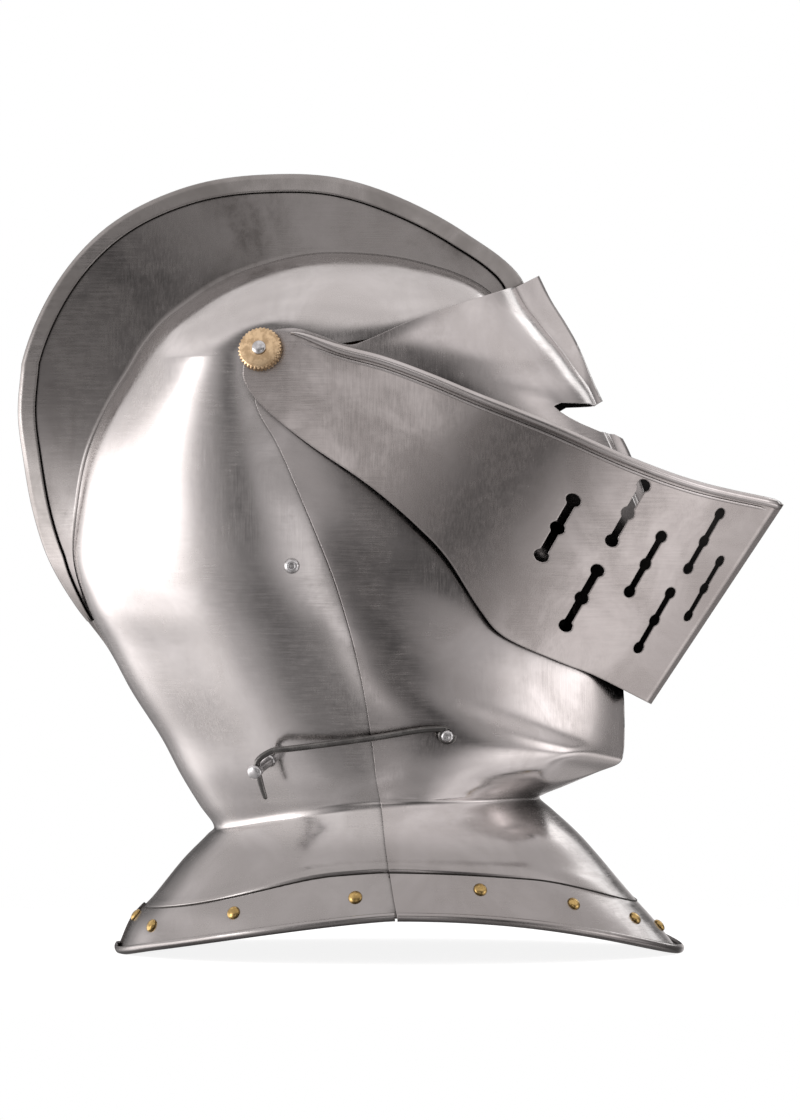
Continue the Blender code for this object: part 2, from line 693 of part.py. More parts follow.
def comb_binding():
    """The strip folded over the comb's crest, as one closed loft along the comb."""
    points, faces, rings = [], [], []
    stations = [fan_point_pair((len(FAN) - 1) * i / FAN_ROWS) for i in range(1, FAN_ROWS + 1)]
    stations += [body_point_pair(u) for u in body_stations() if 0.0 < u < BINDING_END]
    for (cy, cz, c), (ey, ez, e) in stations:
        down = Vector((0.0, cy - ey, cz - ez))
        slope = (c - e) / down.length
        depth = min(BINDING_DEPTH, down.length * 0.6)
        down.normalize()
        inside = e + GAP + 0.3
        outside = inside + BINDING_SHEET
        half = [
            (0.0, 0.0), (outside * 0.6, 0.15), (outside + slope * 1.3, 1.3), (outside + slope * depth, depth),
            (inside + slope * depth, depth), (inside + slope * 1.7, 1.7), (inside * 0.5, BINDING_SHEET),
            (0.0, BINDING_SHEET),
        ]
        profile = half[:-1] + [(-x, drop) for x, drop in reversed(half[1:-1])]
        ring = []
        for x, drop in profile:
            ring.append(len(points))
            points.append(tuple(Vector((0.0, ey, ez)) + down * drop + Vector((x, 0.0, 0.0))))
        rings.append(ring)
    for low, high in zip(rings, rings[1:]):
        for k in range(len(low)):
            m = (k + 1) % len(low)
            faces.append([low[k], low[m], high[m], high[k]])
    faces.append(list(reversed(rings[0])))
    faces.append(list(rings[-1]))
    return points, faces


def fan_point_pair(v):
    angle, crease, crest = blend(FAN, v)
    return (*fan_position(angle, crease), 13.0), (*fan_position(angle, crest), COMB_EDGE)


def body_point_pair(u):
    row = blend(BODY, u)
    return tuple(row[7:10]), tuple(row[10:13])


def rivet(name, hit, normal, head, height, shank, look, reach=SHEET, dimple=False):
    """A rivet: domed head outside, shank through the plate, small peened head inside."""
    profile = [
        (0.0, -reach - 2 * GAP - 0.9), (shank * 1.7, -reach - 2 * GAP - 0.9), (shank * 1.7, -reach - GAP),
        (shank, -reach - GAP), (shank, GAP), (head, GAP), (head * 0.72, GAP + height * 0.7),
    ]
    if dimple:
        profile += [(head * 0.34, GAP + height), (0.0, GAP + height * 0.7)]
    else:
        profile += [(0.0, GAP + height)]
    points, faces = turned_profile(profile, 8)
    return add_object(name, placed(points, hit, normal), faces, look)


def rivet_hole(name, hit, normal, radius):
    return rod(name, hit, normal, radius, 5.0, 8)


def side_hit(tree, y, z, side):
    return surface_hit(tree, (side * 300.0, y, z), (-side, 0.0, 0.0))


def add_riveted(name, plate, place, head, height, shank, look, **more):
    hit, normal = place
    cut(plate, rivet_hole(f"{name}_hole_cutter", hit, normal, shank + GAP))
    return rivet(name, hit, normal, head, height, shank, look, **more)


def stud_direction(side):
    """The pivot stud leans up and back from the X axis."""
    tilt = math.radians(STUD_TILT)
    return Vector((side * math.cos(tilt), math.sin(tilt) * 0.5, math.sin(tilt) * 0.866)).normalized()


def build_pivots(halves):
    middle = (SKULL_HALF_WIDTH + VENTAIL_HALF_WIDTH) / 2
    lean = math.sin(math.radians(STUD_TILT))
    rise = math.cos(math.radians(STUD_TILT))
    washer_low = (VENTAIL_HALF_WIDTH + 0.3 + (WASHER_RADIUS + 0.1) * lean - middle) / rise
    nut_low = max(washer_low + 1.0 + GAP, (VENTAIL_HALF_WIDTH + 0.35 + NUT_RADIUS * lean - middle) / rise)
    nut_high = nut_low + NUT_HEIGHT
    wall = (middle - SKULL_HALF_WIDTH) / rise
    back = SHEET / rise + (STUD_RADIUS + 2.6) * math.tan(math.radians(STUD_TILT)) + GAP
    for side, word, half in ((-1, "right", halves[0]), (1, "left", halves[1])):
        centre = (side * middle, PIVOT_Y, PIVOT_Z)
        direction = stud_direction(side)
        cut(half, rod(f"stud_hole_cutter_{word}", centre, direction, STUD_RADIUS + GAP, 14.0))
        profile = [
            (0.0, -wall - back - 2.0), (3.6, -wall - back - 1.6), (STUD_RADIUS + 2.6, -wall - back),
            (STUD_RADIUS, -wall - back), (STUD_RADIUS, nut_high + GAP), (3.4, nut_high + GAP),
            (3.2, nut_high + GAP + 0.7), (1.9, nut_high + GAP + 1.3), (0.0, nut_high + GAP + 1.5),
        ]
        points, faces = turned_profile(profile, 12)
        add_object(f"pivot_stud_{word}", placed(points, centre, direction), faces, dark_steel())
        axis = axis_empty(f"nut_axis_{word}", centre, direction)
        ring_object(f"pivot_washer_{word}", centre, direction, washer_low, washer_low + 1.0, WASHER_RADIUS, axis)
        knurled_nut(f"pivot_nut_{word}", centre, direction, nut_low, nut_high, axis)


def ring_object(name, centre, direction, low, high, radius, parent):
    bore = STUD_RADIUS + GAP
    points, faces = turned_ring([(bore, low), (radius, low), (radius, high), (bore, high)], 20)
    return add_object(name, placed(points, centre, direction), faces, dark_steel(), parent=parent)


def turned_ring(section_points, sides, teeth=None):
    """Closed points and faces of a closed section turned round Z; teeth swells chosen points in and out."""
    points, faces = [], []
    count = len(section_points)
    for k in range(sides):
        a = 2 * math.pi * k / sides
        for radius, height in section_points:
            r = radius
            if teeth and radius > teeth[0]:
                r = radius - (teeth[1] if k % 2 else 0.0)
            points.append((r * math.cos(a), r * math.sin(a), height))
    for k in range(sides):
        m = (k + 1) % sides
        for i in range(count):
            j = (i + 1) % count
            faces.append([k * count + i, m * count + i, m * count + j, k * count + j])
    return points, faces


def knurled_nut(name, centre, direction, low, high, parent):
    bore = STUD_RADIUS + GAP
    outline = [(bore, low), (NUT_RADIUS, low), (NUT_RADIUS, high - 0.9), (NUT_RADIUS - 1.3, high), (bore, high)]
    points, faces = turned_ring(outline, NUT_TEETH * 2, (NUT_RADIUS - 0.5, 0.6))
    return add_object(name, placed(points, centre, direction), faces, brass(), 25.0, parent)


def bar_mesh(path, radius, sides):
    """Closed points and faces of a round bar along a path, mitred at each bend."""
    path = [Vector(p) for p in path]
    runs = [(b - a).normalized() for a, b in zip(path, path[1:])]
    side = runs[0].orthogonal().normalized()
    over = runs[0].cross(side)
    ring = []
    for k in range(sides):
        a = 2 * math.pi * k / sides
        ring.append(path[0] + (side * math.cos(a) + over * math.sin(a)) * radius)
    rings = [ring]
    for i, run in enumerate(runs):
        plane = run if i + 1 == len(runs) else (run + runs[i + 1]).normalized()
        ring = [p + run * ((path[i + 1] - p).dot(plane) / run.dot(plane)) for p in ring]
        rings.append(ring)
    points = [tuple(p) for ring in rings for p in ring]
    faces = [list(range(sides)), list(range(len(points) - 1, len(points) - sides - 1, -1))]
    for i in range(len(runs)):
        for k in range(sides):
            m = (k + 1) % sides
            faces.append([i * sides + m, i * sides + k, (i + 1) * sides + k, (i + 1) * sides + m])
    return points, faces


def smooth_path(stops, per_span):
    count = (len(stops) - 1) * per_span
    return [tuple(blend(stops, (len(stops) - 1) * i / count)) for i in range(count + 1)]


def build_latch(bevor, right_half, bevor_tree, skull_tree):
    rivet_place = side_hit(bevor_tree, *LATCH_RIVET, -1)
    stud_place = side_hit(skull_tree, *LATCH_STUD, -1)
    axis = Vector(LATCH_AXIS).normalized()
    pin = Vector(rivet_place[0])
    cut(bevor, rivet_hole("latch_rivet_hole_cutter", pin, axis, LATCH_PIN + GAP))
    head = LATCH_LIFT + 2 * ROD_RADIUS + 2 * GAP
    points, faces = turned_profile([
        (0.0, -4.2), (2.4, -4.2), (2.4, -3.2), (LATCH_PIN, -3.2), (LATCH_PIN, head), (2.9, head),
        (2.8, head + 0.7), (1.8, head + 1.4), (0.0, head + 1.7),
    ], 12)
    add_object("latch_rivet", placed(points, pin, axis), faces, dark_steel())
    foot, normal = stud_place
    cut(right_half, rivet_hole("latch_stud_hole_cutter", foot, normal, 1.4 + GAP))
    top = LATCH_STAND_OFF + 2 * ROD_RADIUS
    points, faces = turned_profile([
        (0.0, -3.0), (2.6, -3.0), (2.6, -1.9), (1.4, -1.9), (1.4, GAP), (3.0, GAP), (3.0, top),
        (3.6, top), (3.5, top + 0.8), (2.3, top + 1.7), (0.0, top + 2.0),
    ], 14)
    stud = add_object("latch_stud", placed(points, foot, normal), faces, dark_steel())
    hinge = axis_empty("latch_axis", pin, -axis)
    eye = foot + normal * LATCH_STAND_OFF
    build_hook(pin, axis, eye, stud, hinge)


def build_hook(pin, axis, eye, stud, hinge):
    """The bent rod: a loop round the rivet, a long arched bar, and a tip on a circle about the rivet."""
    level = pin + axis * (LATCH_LIFT + ROD_RADIUS + GAP)
    arm = eye - level
    arm -= axis * arm.dot(axis)
    reach = arm.length
    back = arm.normalized()
    up = axis.cross(back).normalized()
    if up.z < 0:
        up = -up
    height = (eye - level).dot(axis)

    def at(along, rise, out):
        return level + back * along + up * rise + axis * out

    loop_radius = LATCH_PIN + GAP + ROD_RADIUS + 0.1
    path = []
    for k in range(11):
        a = math.radians(-150.0 + 240.0 * k / 10)
        path.append(at(loop_radius * math.cos(a), loop_radius * math.sin(a), 0.0))
    bar = [at(along, rise, out + height * share) for along, rise, out, share in HOOK_BAR]
    bar.append(at(reach - 8.0, 8.6, height))
    path += smooth_path([tuple(p) for p in bar], 3)[1:]
    tip = []
    for k in range(7):
        a = math.radians(5.6 - 14.5 * k / 6)
        tip.append(at(reach * math.cos(a), reach * math.sin(a), height))
    path += [tuple(p) for p in tip]
    add_object("latch_hook", *bar_mesh(path, ROD_RADIUS, 8), dark_steel(), parent=hinge)
    cut(stud, rod("latch_eye_cutter", at(reach, 0.0, height), up, ROD_RADIUS + 0.5, 8.0, 12))


def build_liner():
    points, faces = liner_band()
    add_object("liner_band", points, faces, leather())
    points, faces = liner_crown()
    add_object("liner_crown", points, faces, leather())


def liner_ring(width, front, back, height, tilt, sides=24):
    """A closed oval round the head, rising towards the front."""
    ring = []
    middle = (front + back) / 2
    half = (back - front) / 2
    for k in range(sides):
        a = 2 * math.pi * k / sides
        y = middle + half * math.cos(a)
        ring.append((width * math.sin(a), y, height - (y - middle) * tilt))
    return ring


def stack_rings(rings, closed=True):
    points, faces = [], []
    sides = len(rings[0])
    for ring in rings:
        points += ring
    pairs = list(zip(range(len(rings)), range(1, len(rings))))
    if closed:
        pairs.append((len(rings) - 1, 0))
    for low, high in pairs:
        for k in range(sides):
            m = (k + 1) % sides
            faces.append([low * sides + k, low * sides + m, high * sides + m, high * sides + k])
    return points, faces


def liner_band():
    outside = dict(width=76.0, front=-30.0, back=120.0, tilt=0.2)
    inside = dict(width=73.4, front=-27.4, back=117.4, tilt=0.2)
    return stack_rings([
        liner_ring(height=262.0, **outside), liner_ring(height=292.0, **outside),
        liner_ring(height=292.0, **inside), liner_ring(height=262.0, **inside),
    ])


def liner_crown():
    """Leather cap over the band, open at its crown ring."""
    outer, inner = [], []
    for k in range(5):
        a = math.radians(8.0 + 62.0 * k / 4)
        for rings, shrink in ((outer, 0.0), (inner, 2.2)):
            half_y = 73.0 * math.cos(a) - shrink
            rings.append(liner_ring(
                (74.0 - shrink) * math.cos(a), 45.0 - half_y, 45.0 + half_y,
                292.5 + GAP + (33.0 - shrink) * math.sin(a) - 4.0, 0.2 * math.cos(a),
            ))
    return stack_rings(outer + list(reversed(inner)))


def strap(name, path, width, thickness, facing):
    """A flat strap along a path; facing is the direction of its width."""
    points, faces = [], []
    across = Vector(facing).normalized()
    for i, place in enumerate(path):
        ahead = Vector(path[min(i + 1, len(path) - 1)]) - Vector(path[max(i - 1, 0)])
        out = across.cross(ahead).normalized()
        for a, b in ((-1, -1), (1, -1), (1, 1), (-1, 1)):
            points.append(tuple(Vector(place) + across * a * width / 2 + out * b * thickness / 2))
    for i in range(len(path) - 1):
        for k in range(4):
            m = (k + 1) % 4
            faces.append([i * 4 + k, i * 4 + m, i * 4 + 4 + m, i * 4 + 4 + k])
    faces += [[3, 2, 1, 0], [len(points) - 4 + k for k in range(4)]]
    return add_object(name, points, faces, leather())


def build_straps():
    y, z = STRAP_RIVET
    for side, word, length in ((-1, "right", 88.0), (1, "left", 128.0)):
        stops = [
            (side * 85.2, y, z + 8.0), (side * 85.0, y, z - 6.0), (side * 79.0, y - 1.0, z - 30.0),
            (side * 68.0, y - 3.0, z - 60.0), (side * 57.0, y - 5.0, z - length),
        ]
        strap(f"chin_strap_{word}", smooth_path(stops, 3), 17.0, 2.2, (0.0, 1.0, 0.0))
    build_buckle((-56.2, y - 5.3, z - 88.0 - 9.0))


def build_buckle(centre):
    """An open rectangular buckle hanging from the right strap's end."""
    outline = [(-12.0, -8.0), (12.0, -8.0), (12.0, 8.0), (-12.0, 8.0)]
    opening = [(-9.4, -5.4), (9.4, -5.4), (9.4, 5.4), (-9.4, 5.4)]
    rings = []
    for depth, loop in ((-1.2, outline), (1.2, outline), (1.2, opening), (-1.2, opening)):
        rings.append([(centre[0] + depth, centre[1] + a, centre[2] + b) for a, b in loop])
    points, faces = stack_rings(rings)
    return add_object("chin_strap_buckle", points, faces, brass())


def build_collar_rivets(halves, bevor, skull_trees, bevor_tree):
    for side, word, half, tree in ((-1, "right", halves[0], skull_trees[0]), (1, "left", halves[1], skull_trees[1])):
        for number, (y, z) in enumerate(REAR_RIVETS, 1):
            place = side_hit(tree, y, z, side)
            add_riveted(f"rear_rivet_{word}_{number}", half, place, 3.3, 1.9, 1.3, brass())
        place = surface_hit(tree, (side * REAR_CENTRE_RIVET_X, 250.0, 17.5), (0.0, -1.0, 0.0))
        add_riveted(f"rear_rivet_{word}_4", half, place, 3.3, 1.9, 1.3, brass())
        for number, (y, z) in enumerate(FRONT_RIVETS, 1):
            place = side_hit(bevor_tree, y, z, side)
            add_riveted(f"front_rivet_{word}_{number}", bevor, place, 3.3, 1.9, 1.3, brass())
        place = side_hit(tree, *STRAP_RIVET, side)
        add_riveted(f"strap_rivet_{word}", half, place, 3.6, 2.2, 1.5, dark_steel(), dimple=True)
    place = surface_hit(bevor_tree, (0.0, -250.0, 12.8), (0.0, 1.0, 0.0))
    add_riveted("front_rivet_centre", bevor, place, 3.3, 1.9, 1.3, brass(), reach=SHEET + 0.3)


def build_plates():
    halves, trees = [], []
    for side, word in ((-1, "right"), (1, "left")):
        sheet = skull_sheet(side)
        trees.append(tree_of(sheet))
        points, faces = sheet.solid(SHEET, level_seam=True)
        halves.append(add_object(f"skull_{word}_half", points, faces, steel()))
    hinge = axis_empty("face_axis", (0.0, PIVOT_Y, PIVOT_Z), (-1.0, 0.0, 0.0))
    sheet = bevor_sheet()
    bevor_tree = tree_of(sheet)
    bevor = add_object("bevor_shell", *sheet.solid(SHEET), steel(), parent=hinge)
    visor = add_object("visor_shell", *visor_sheet().solid(SHEET), steel(), parent=hinge)
    cut(visor, side_prism("sight_cutter", SIGHT))
    sheet, path = ventail_sheet()
    ventail = add_object("ventail_shell", *sheet.solid(SHEET), steel(), parent=hinge)
    join(ventail, cutter("rim_roll", *bar_mesh(path, RIM_RADIUS, 10)))
    for number, slot in enumerate(SLOTS, 1):
        cut(ventail, side_prism(f"breath_cutter_{number}", dumbbell(*slot), high=0.0))
    hole = rod("pivot_hole_cutter", (0, PIVOT_Y, PIVOT_Z), (1, 0, 0), PIVOT_HOLE, CUT_REACH)
    for plate in (bevor, visor, ventail):
        cut(plate, hole)
    floor = side_prism("floor_cutter", [(-200.0, -20.0), (200.0, -20.0), (200.0, 0.0), (-200.0, 0.0)])
    for plate in (bevor, *halves):
        cut(plate, floor)
    return halves, trees, bevor, bevor_tree


def main():
    for obj in list(bpy.data.objects):
        bpy.data.objects.remove(obj)
    halves, skull_trees, bevor, bevor_tree = build_plates()
    points, faces = comb_binding()
    add_object("comb_edge_binding", points, faces, steel())
    build_pivots(halves)
    build_collar_rivets(halves, bevor, skull_trees, bevor_tree)
    build_latch(bevor, halves[0], bevor_tree, skull_trees[0])
    build_liner()
    build_straps()


main()
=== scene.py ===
"""Looks of the close helmet: finely meshed steel plates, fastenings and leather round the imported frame."""

import functools
import math

import bmesh
import bpy
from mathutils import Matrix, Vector
from mathutils.bvhtree import BVHTree
from mathutils.interpolate import poly_3d_calc

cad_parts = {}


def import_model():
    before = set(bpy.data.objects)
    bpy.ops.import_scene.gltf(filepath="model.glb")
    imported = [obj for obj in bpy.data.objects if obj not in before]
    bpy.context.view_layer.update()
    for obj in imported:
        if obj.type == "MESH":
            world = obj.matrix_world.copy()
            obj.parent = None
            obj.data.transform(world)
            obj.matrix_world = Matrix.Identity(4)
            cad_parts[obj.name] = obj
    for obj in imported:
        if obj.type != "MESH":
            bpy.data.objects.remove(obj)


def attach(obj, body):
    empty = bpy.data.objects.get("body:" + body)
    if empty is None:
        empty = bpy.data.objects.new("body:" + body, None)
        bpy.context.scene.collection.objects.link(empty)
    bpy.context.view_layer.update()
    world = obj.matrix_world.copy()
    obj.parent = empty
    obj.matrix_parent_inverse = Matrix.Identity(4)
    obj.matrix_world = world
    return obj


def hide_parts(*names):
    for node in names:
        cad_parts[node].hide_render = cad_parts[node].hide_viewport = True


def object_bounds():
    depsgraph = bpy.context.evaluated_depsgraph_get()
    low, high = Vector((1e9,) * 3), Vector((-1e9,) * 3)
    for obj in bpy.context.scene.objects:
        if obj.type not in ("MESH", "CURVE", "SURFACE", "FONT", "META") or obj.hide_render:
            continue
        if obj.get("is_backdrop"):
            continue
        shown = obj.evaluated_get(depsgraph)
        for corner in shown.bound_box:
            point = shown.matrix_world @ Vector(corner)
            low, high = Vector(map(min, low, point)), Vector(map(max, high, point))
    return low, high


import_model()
CAD_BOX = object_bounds()

# ---------------------------------------------------------------- dimensions, in millimetres
MM = 0.001
CUT_REACH = 150.0           # half length of the cutters that run across the helmet
PIVOT_Y = 58.6
PIVOT_Z = 286.3
SHEET = 1.5                 # steel thickness
GAP = 0.3                   # clearance between neighbouring pieces
HALF_SEAM = 0.15            # each skull half stops this far from the plane of symmetry
SKULL_HALF_WIDTH = 88.5     # outer face of the skull at the pivot
BEVOR_HALF_WIDTH = 90.9
VISOR_HALF_WIDTH = 93.3
VENTAIL_HALF_WIDTH = 95.7
LAP_CLEARANCE = BEVOR_HALF_WIDTH - SKULL_HALF_WIDTH
EAR_FLAT = 12.0             # radius of the flat round each pivot
LAP = 12.0                  # how far the skull runs forward under the bevor
COMB_EDGE = 2.2             # half thickness of the comb at its crest
CREST_SHORT = 1.6           # the comb's plates end this far under the binding's crest
BINDING_SHEET = 0.8
BINDING_DEPTH = 9.0
BINDING_END = 5.4           # body station where the binding stops
ROLL_RADIUS = 2.4           # rolled edge of the collar, outside
ROLL_TURN = 205.0           # degrees that the edge is rolled over
RIM_RADIUS = 2.2            # rolled rim of the ventail, outside
BORDER_STEP = 0.8           # depth of the recessed border on the collar
KEEL_HALF_BAND = 9.0        # half width of the raised keel on the visor
BOWL_FULLNESS = 2.05        # exponent of the skull's plan curve behind the ears
COMB_BASE = 13.0            # half thickness of the comb's foot above the ears
VISOR_FULLNESS = ((5.0, 2.15), (-22.0, 1.7))    # exponent of the visor's plan curve over the angle
VENTAIL_FULLNESS = 2.4      # exponent of the ventail's plan curve
PIVOT_HOLE = 4.1
STUD_RADIUS = 2.25
STUD_TILT = 20.0            # degrees the stud leans up and back from the X axis
STUD_LEAN = (0.5, 0.866)    # direction of that lean (y, z)
STUD_MIDDLE = (SKULL_HALF_WIDTH + VENTAIL_HALF_WIDTH) / 2
NUT_RADIUS = 10.5
NUT_HEIGHT = 4.8
NUT_TEETH = 34
WASHER_RADIUS = 7.3
ROD_RADIUS = 1.5
SLOT_HALF_LENGTH = 15.2     # centre to the centre of an end lobe
SLOT_HALF_WIDTH = 1.6
SLOT_LOBE = 2.95
SLOT_LEAN = (0.5, -0.866)   # direction of a slot in the side view (y, z)
# Breath slots, on the right side only: centre y, z, and the share of its width that the side view shows.
SLOTS = (
    (-78.2, 205.7, 1.27), (-111.4, 212.8, 1.10), (-147.8, 199.5, 0.74), (-89.3, 172.2, 1.14),
    (-119.7, 188.4, 0.89), (-123.9, 161.3, 0.78), (-147.8, 176.6, 0.61),
)
LATCH_AXIS = (-1.0, 0.0, -0.30)
LATCH_LIFT = 2.4            # gap between the bevor and the hook's loop
LATCH_PIN = 1.3             # radius of the rivet that the hook turns on
# Stations of the hook's bar: distance from the rivet, rise, stand-off, and share of the eye's stand-off.
HOOK_BAR = (
    (0.0, 3.2, 0.0, 0.0), (12.0, 5.4, 2.6, 0.05), (30.0, 6.4, 4.6, 0.25), (52.0, 7.4, 4.6, 0.5),
    (74.0, 8.4, 3.0, 0.8),
)
LATCH_STAND_OFF = 13.6      # from the skull to the eye of the latch stud
FACET_SLOPE = 1.7           # half width of the flat chin facet for each millimetre behind its edge
FACET_END = 8.0             # body station where the chin facet runs out
# Stations of the fan round the pivot: angle above the front, crease radius, comb radius.
FAN = (
    (10.0, 112.0, 119.0), (18.5, 107.0, 125.0), (34.7, 83.8, 110.7), (52.0, 66.0, 100.5),
    (72.0, 54.5, 94.8), (95.0, 47.5, 92.4), (120.0, 46.6, 98.2), (145.0, 51.0, 109.3),
    (165.0, 60.5, 118.6), (180.0, 69.5, 126.6),
)
# Stations of the lower body, from the pivot down to the collar's edge:
# spine y, z, half width, front y, z, front exponent, drop exponent,
# crease y, z, half thickness there, comb crest y, z, half thickness there, seam y
BODY = (
    (58.6, 286.3, 88.5, -99.0, 190.0, 1.60, 1.0, 128.1, 286.3, 13.0, 185.2, 286.3, 2.2, 62.0),
    (57.0, 264.0, 89.0, -104.0, 160.0, 1.60, 1.0, 141.5, 264.0, 13.0, 187.0, 262.5, 2.2, 63.3),
    (53.0, 240.0, 90.0, -107.5, 140.0, 1.55, 1.0, 151.3, 240.5, 12.5, 184.5, 240.5, 2.2, 49.8),
    (47.0, 214.0, 91.0, -109.0, 124.0, 1.42, 1.0, 156.3, 213.5, 11.5, 179.8, 214.5, 2.2, 37.0),
    (40.0, 190.0, 91.0, -109.3, 113.0, 1.38, 1.0, 157.6, 190.0, 10.0, 171.9, 190.4, 2.1, 27.0),
    (33.0, 168.0, 89.8, -109.3, 105.0, 1.39, 1.0, 151.5, 168.0, 7.0, 158.8, 168.0, 1.9, 20.5),
    (27.5, 148.0, 87.3, -108.8, 97.0, 1.44, 1.0, 141.9, 148.0, 3.0, 143.2, 148.0, 0.9, 15.7),
    (22.0, 126.0, 84.0, -106.5, 91.5, 1.60, 1.0, 130.4, 126.0, 0.6, 131.0, 126.0, 0.15, 11.7),
    (17.0, 104.0, 80.0, -96.0, 87.2, 1.70, 1.0, 116.2, 104.0, 0.6, 116.8, 104.0, 0.15, 8.8),
    (13.0, 88.0, 76.5, -80.0, 80.5, 1.75, 1.0, 106.6, 86.0, 0.6, 107.2, 86.0, 0.15, 7.2),
    (9.5, 78.5, 73.6, -70.3, 76.6, 1.80, 1.0, 97.4, 71.0, 0.6, 98.0, 71.0, 0.15, 5.8),
    (8.0, 74.3, 72.6, -68.2, 74.4, 1.80, 1.0, 90.4, 61.0, 0.6, 91.0, 61.0, 0.15, 5.1),
    (6.0, 68.0, 75.0, -75.0, 68.4, 1.80, 1.0, 93.6, 56.5, 0.6, 94.2, 56.5, 0.15, 4.2),
    (3.5, 55.0, 83.5, -89.5, 54.8, 1.85, 1.2, 105.4, 44.5, 0.6, 106.0, 44.5, 0.15, 2.4),
    (1.0, 41.0, 93.0, -112.0, 28.5, 1.85, 2.0, 119.6, 27.0, 0.6, 120.2, 27.0, 0.15, -0.3),
    (-1.0, 31.5, 99.0, -125.0, 14.0, 1.85, 2.1, 129.8, 15.5, 0.6, 130.4, 15.5, 0.15, -2.2),
    (-3.0, 22.8, 104.3, -135.2, 1.45, 1.85, 2.2, 136.0, 1.4, 0.6, 136.6, 1.4, 0.15, -4.2),
)
REAR_LIFT = ((60.0, 0.0), (25.0, -0.6), (0.0, 0.9))    # rise of the rear edge over the distance from X = 0
EDGE_STATION = 16.0
BEVOR_START = 0.4           # station of the bevor's first row below BEVOR_TOP
# Bevor rows above the seam: the ear's outline point and the front point of each.
BEVOR_TOP = (
    ((55.0, 296.0), (-93.0, 205.0)),
    ((63.0, 293.4), (-96.0, 197.0)),
    ((67.0, 284.0), (-99.0, 190.0)),
)
# Visor: points y, z of its upper edge, its lower edge and its keel, the depth of the keel over the angle
# above the front, and the outline of the sight, which is cut through both sides.
VISOR_TOP = (
    (69.0, 289.0), (63.0, 296.0), (54.0, 299.0), (44.0, 299.6), (33.0, 296.4), (20.0, 291.9),
    (9.7, 294.8), (-10.0, 304.0), (-30.0, 311.6), (-50.0, 319.3), (-67.7, 328.7),
)
VISOR_BOTTOM = (
    (69.0, 283.0), (65.5, 276.0), (58.0, 272.5), (48.0, 272.0), (36.0, 266.0), (20.0, 256.0),
    (4.0, 248.0), (-25.0, 234.0), (-60.0, 217.0), (-95.0, 201.0), (-127.0, 190.0),
)
VISOR_KEEL = (
    (-67.7, 328.7), (-73.8, 316.5), (-80.8, 305.4), (-87.3, 293.6), (-95.6, 274.2), (-104.0, 257.5),
    (-112.5, 241.0), (-121.5, 215.0), (-127.0, 190.0),
)
KEEL_DEPTH = ((18.6, 13.0), (8.0, 12.0), (-0.5, 8.0), (-5.7, 4.4), (-9.0, 3.2), (-30.0, 3.0))
SIGHT = (
    (-76.3, 263.8), (-79.7, 265.6), (-95.0, 265.6), (-99.8, 268.2), (-130.0, 280.0), (-130.0, 245.0),
    (-111.0, 245.5), (-108.6, 249.3), (-104.6, 251.4), (-97.9, 252.2), (-89.5, 255.6), (-83.5, 258.6),
    (-78.9, 261.5),
)
# Ventail: upper rim and lower edge, from the ear to the keel.
VENTAIL_TOP = (
    (68.6, 289.5), (63.5, 295.2), (56.0, 297.4), (48.0, 297.4), (40.6, 296.0), (23.3, 289.6),
    (2.8, 284.2), (-18.7, 276.3), (-39.7, 267.6), (-61.3, 259.2), (-79.6, 251.8), (-113.6, 237.0),
    (-146.1, 225.8), (-186.5, 217.2),
)
VENTAIL_BOTTOM = (
    (68.9, 282.5), (68.8, 275.6), (63.5, 266.8), (54.5, 257.8), (37.5, 244.5), (17.0, 230.7),
    (3.0, 220.1), (-12.8, 206.0), (-26.7, 190.9), (-41.5, 167.0), (-53.1, 153.6), (-78.9, 141.4),
    (-95.9, 134.4), (-122.2, 120.3),
)
# Rivets: places y, z in the side view, and sizes as radius of the head, its height, radius of the shank.
REAR_RIVETS = ((16.0, 31.6), (74.7, 23.2), (116.9, 14.8))
FRONT_RIVETS = ((-42.5, 35.0), (-86.0, 27.1), (-114.7, 18.3))
REAR_CENTRE_RIVET_X = 9.0
STRAP_RIVET = (46.3, 187.6)
LATCH_RIVET = (-26.5, 108.8)
LATCH_STUD = (58.5, 95.0)
STUD_SHANK = 1.4            # of the latch stud
BRASS_RIVET = (3.3, 1.9, 1.3)
DIMPLED_RIVET = (3.6, 2.0, 1.5)
SIDES = ((-1, "right"), (1, "left"))

# mesh density
FAN_ROWS = 84
BODY_ROWS = 128
REAR_COLUMNS = 42
COMB_COLUMNS = 14
LAP_COLUMNS = 6
FRONT_COLUMNS = 66
PLATE_ROWS = 34
CREASE_COLUMNS = 78         # columns of the visor between its ear and the crease beside its keel
KEEL_COLUMNS = 8
PLATE_COLUMNS = 110
ROLL_STEPS = 14
RIM_START = 28              # columns of the ventail between its ear and the start of the rim
SLOT_STEPS = 64
TURN_SIDES = 32
LAP_TOP_COLUMN = 6          # column of the skull's fan that the lap's top row runs to
SMOOTH_PASSES = 10          # times that the visor's half widths are evened out

COMB_FILLET = 2.0           # size of the fillet where the comb rises from the bowl
BORDER_STATION = 13.72      # station where the border starts beside the seam
BORDER_FALL = 0.63          # it starts this much lower down at the front and the back
BORDER_RIDGE = 0.60         # height of the ridge above the recessed border
BORDER_EXTRA = 0.4          # the visible border lies this much deeper than the CAD's
FACET_SOFT = 2.5            # size of the rounding between the chin's facet and its sides
FACET_FADE = 3.2            # stations over which the facet ends
STEP_FADE = 20.0            # half width over which the border's step fades out at the chin
RIM_KEEL_RUN = 9.0          # the ventail's rim leaves the keel over this much half width
RIM_KEEL_INSET = 3.4        # and stays this far behind it
RIM_BAND_RADIUS = 0.95      # thin raised band below the rim
SHADE_LINE_RADIUS = 0.42          # painted shade: a dark line along the border's step
COLLAR_TOP = 0.060          # metres; above it every inner face is blackened, which also paints the shade inside the helmet
COMB_SHADE_FADE = (0.0128, 0.0142)       # metres from the middle where the comb's painted shade ends
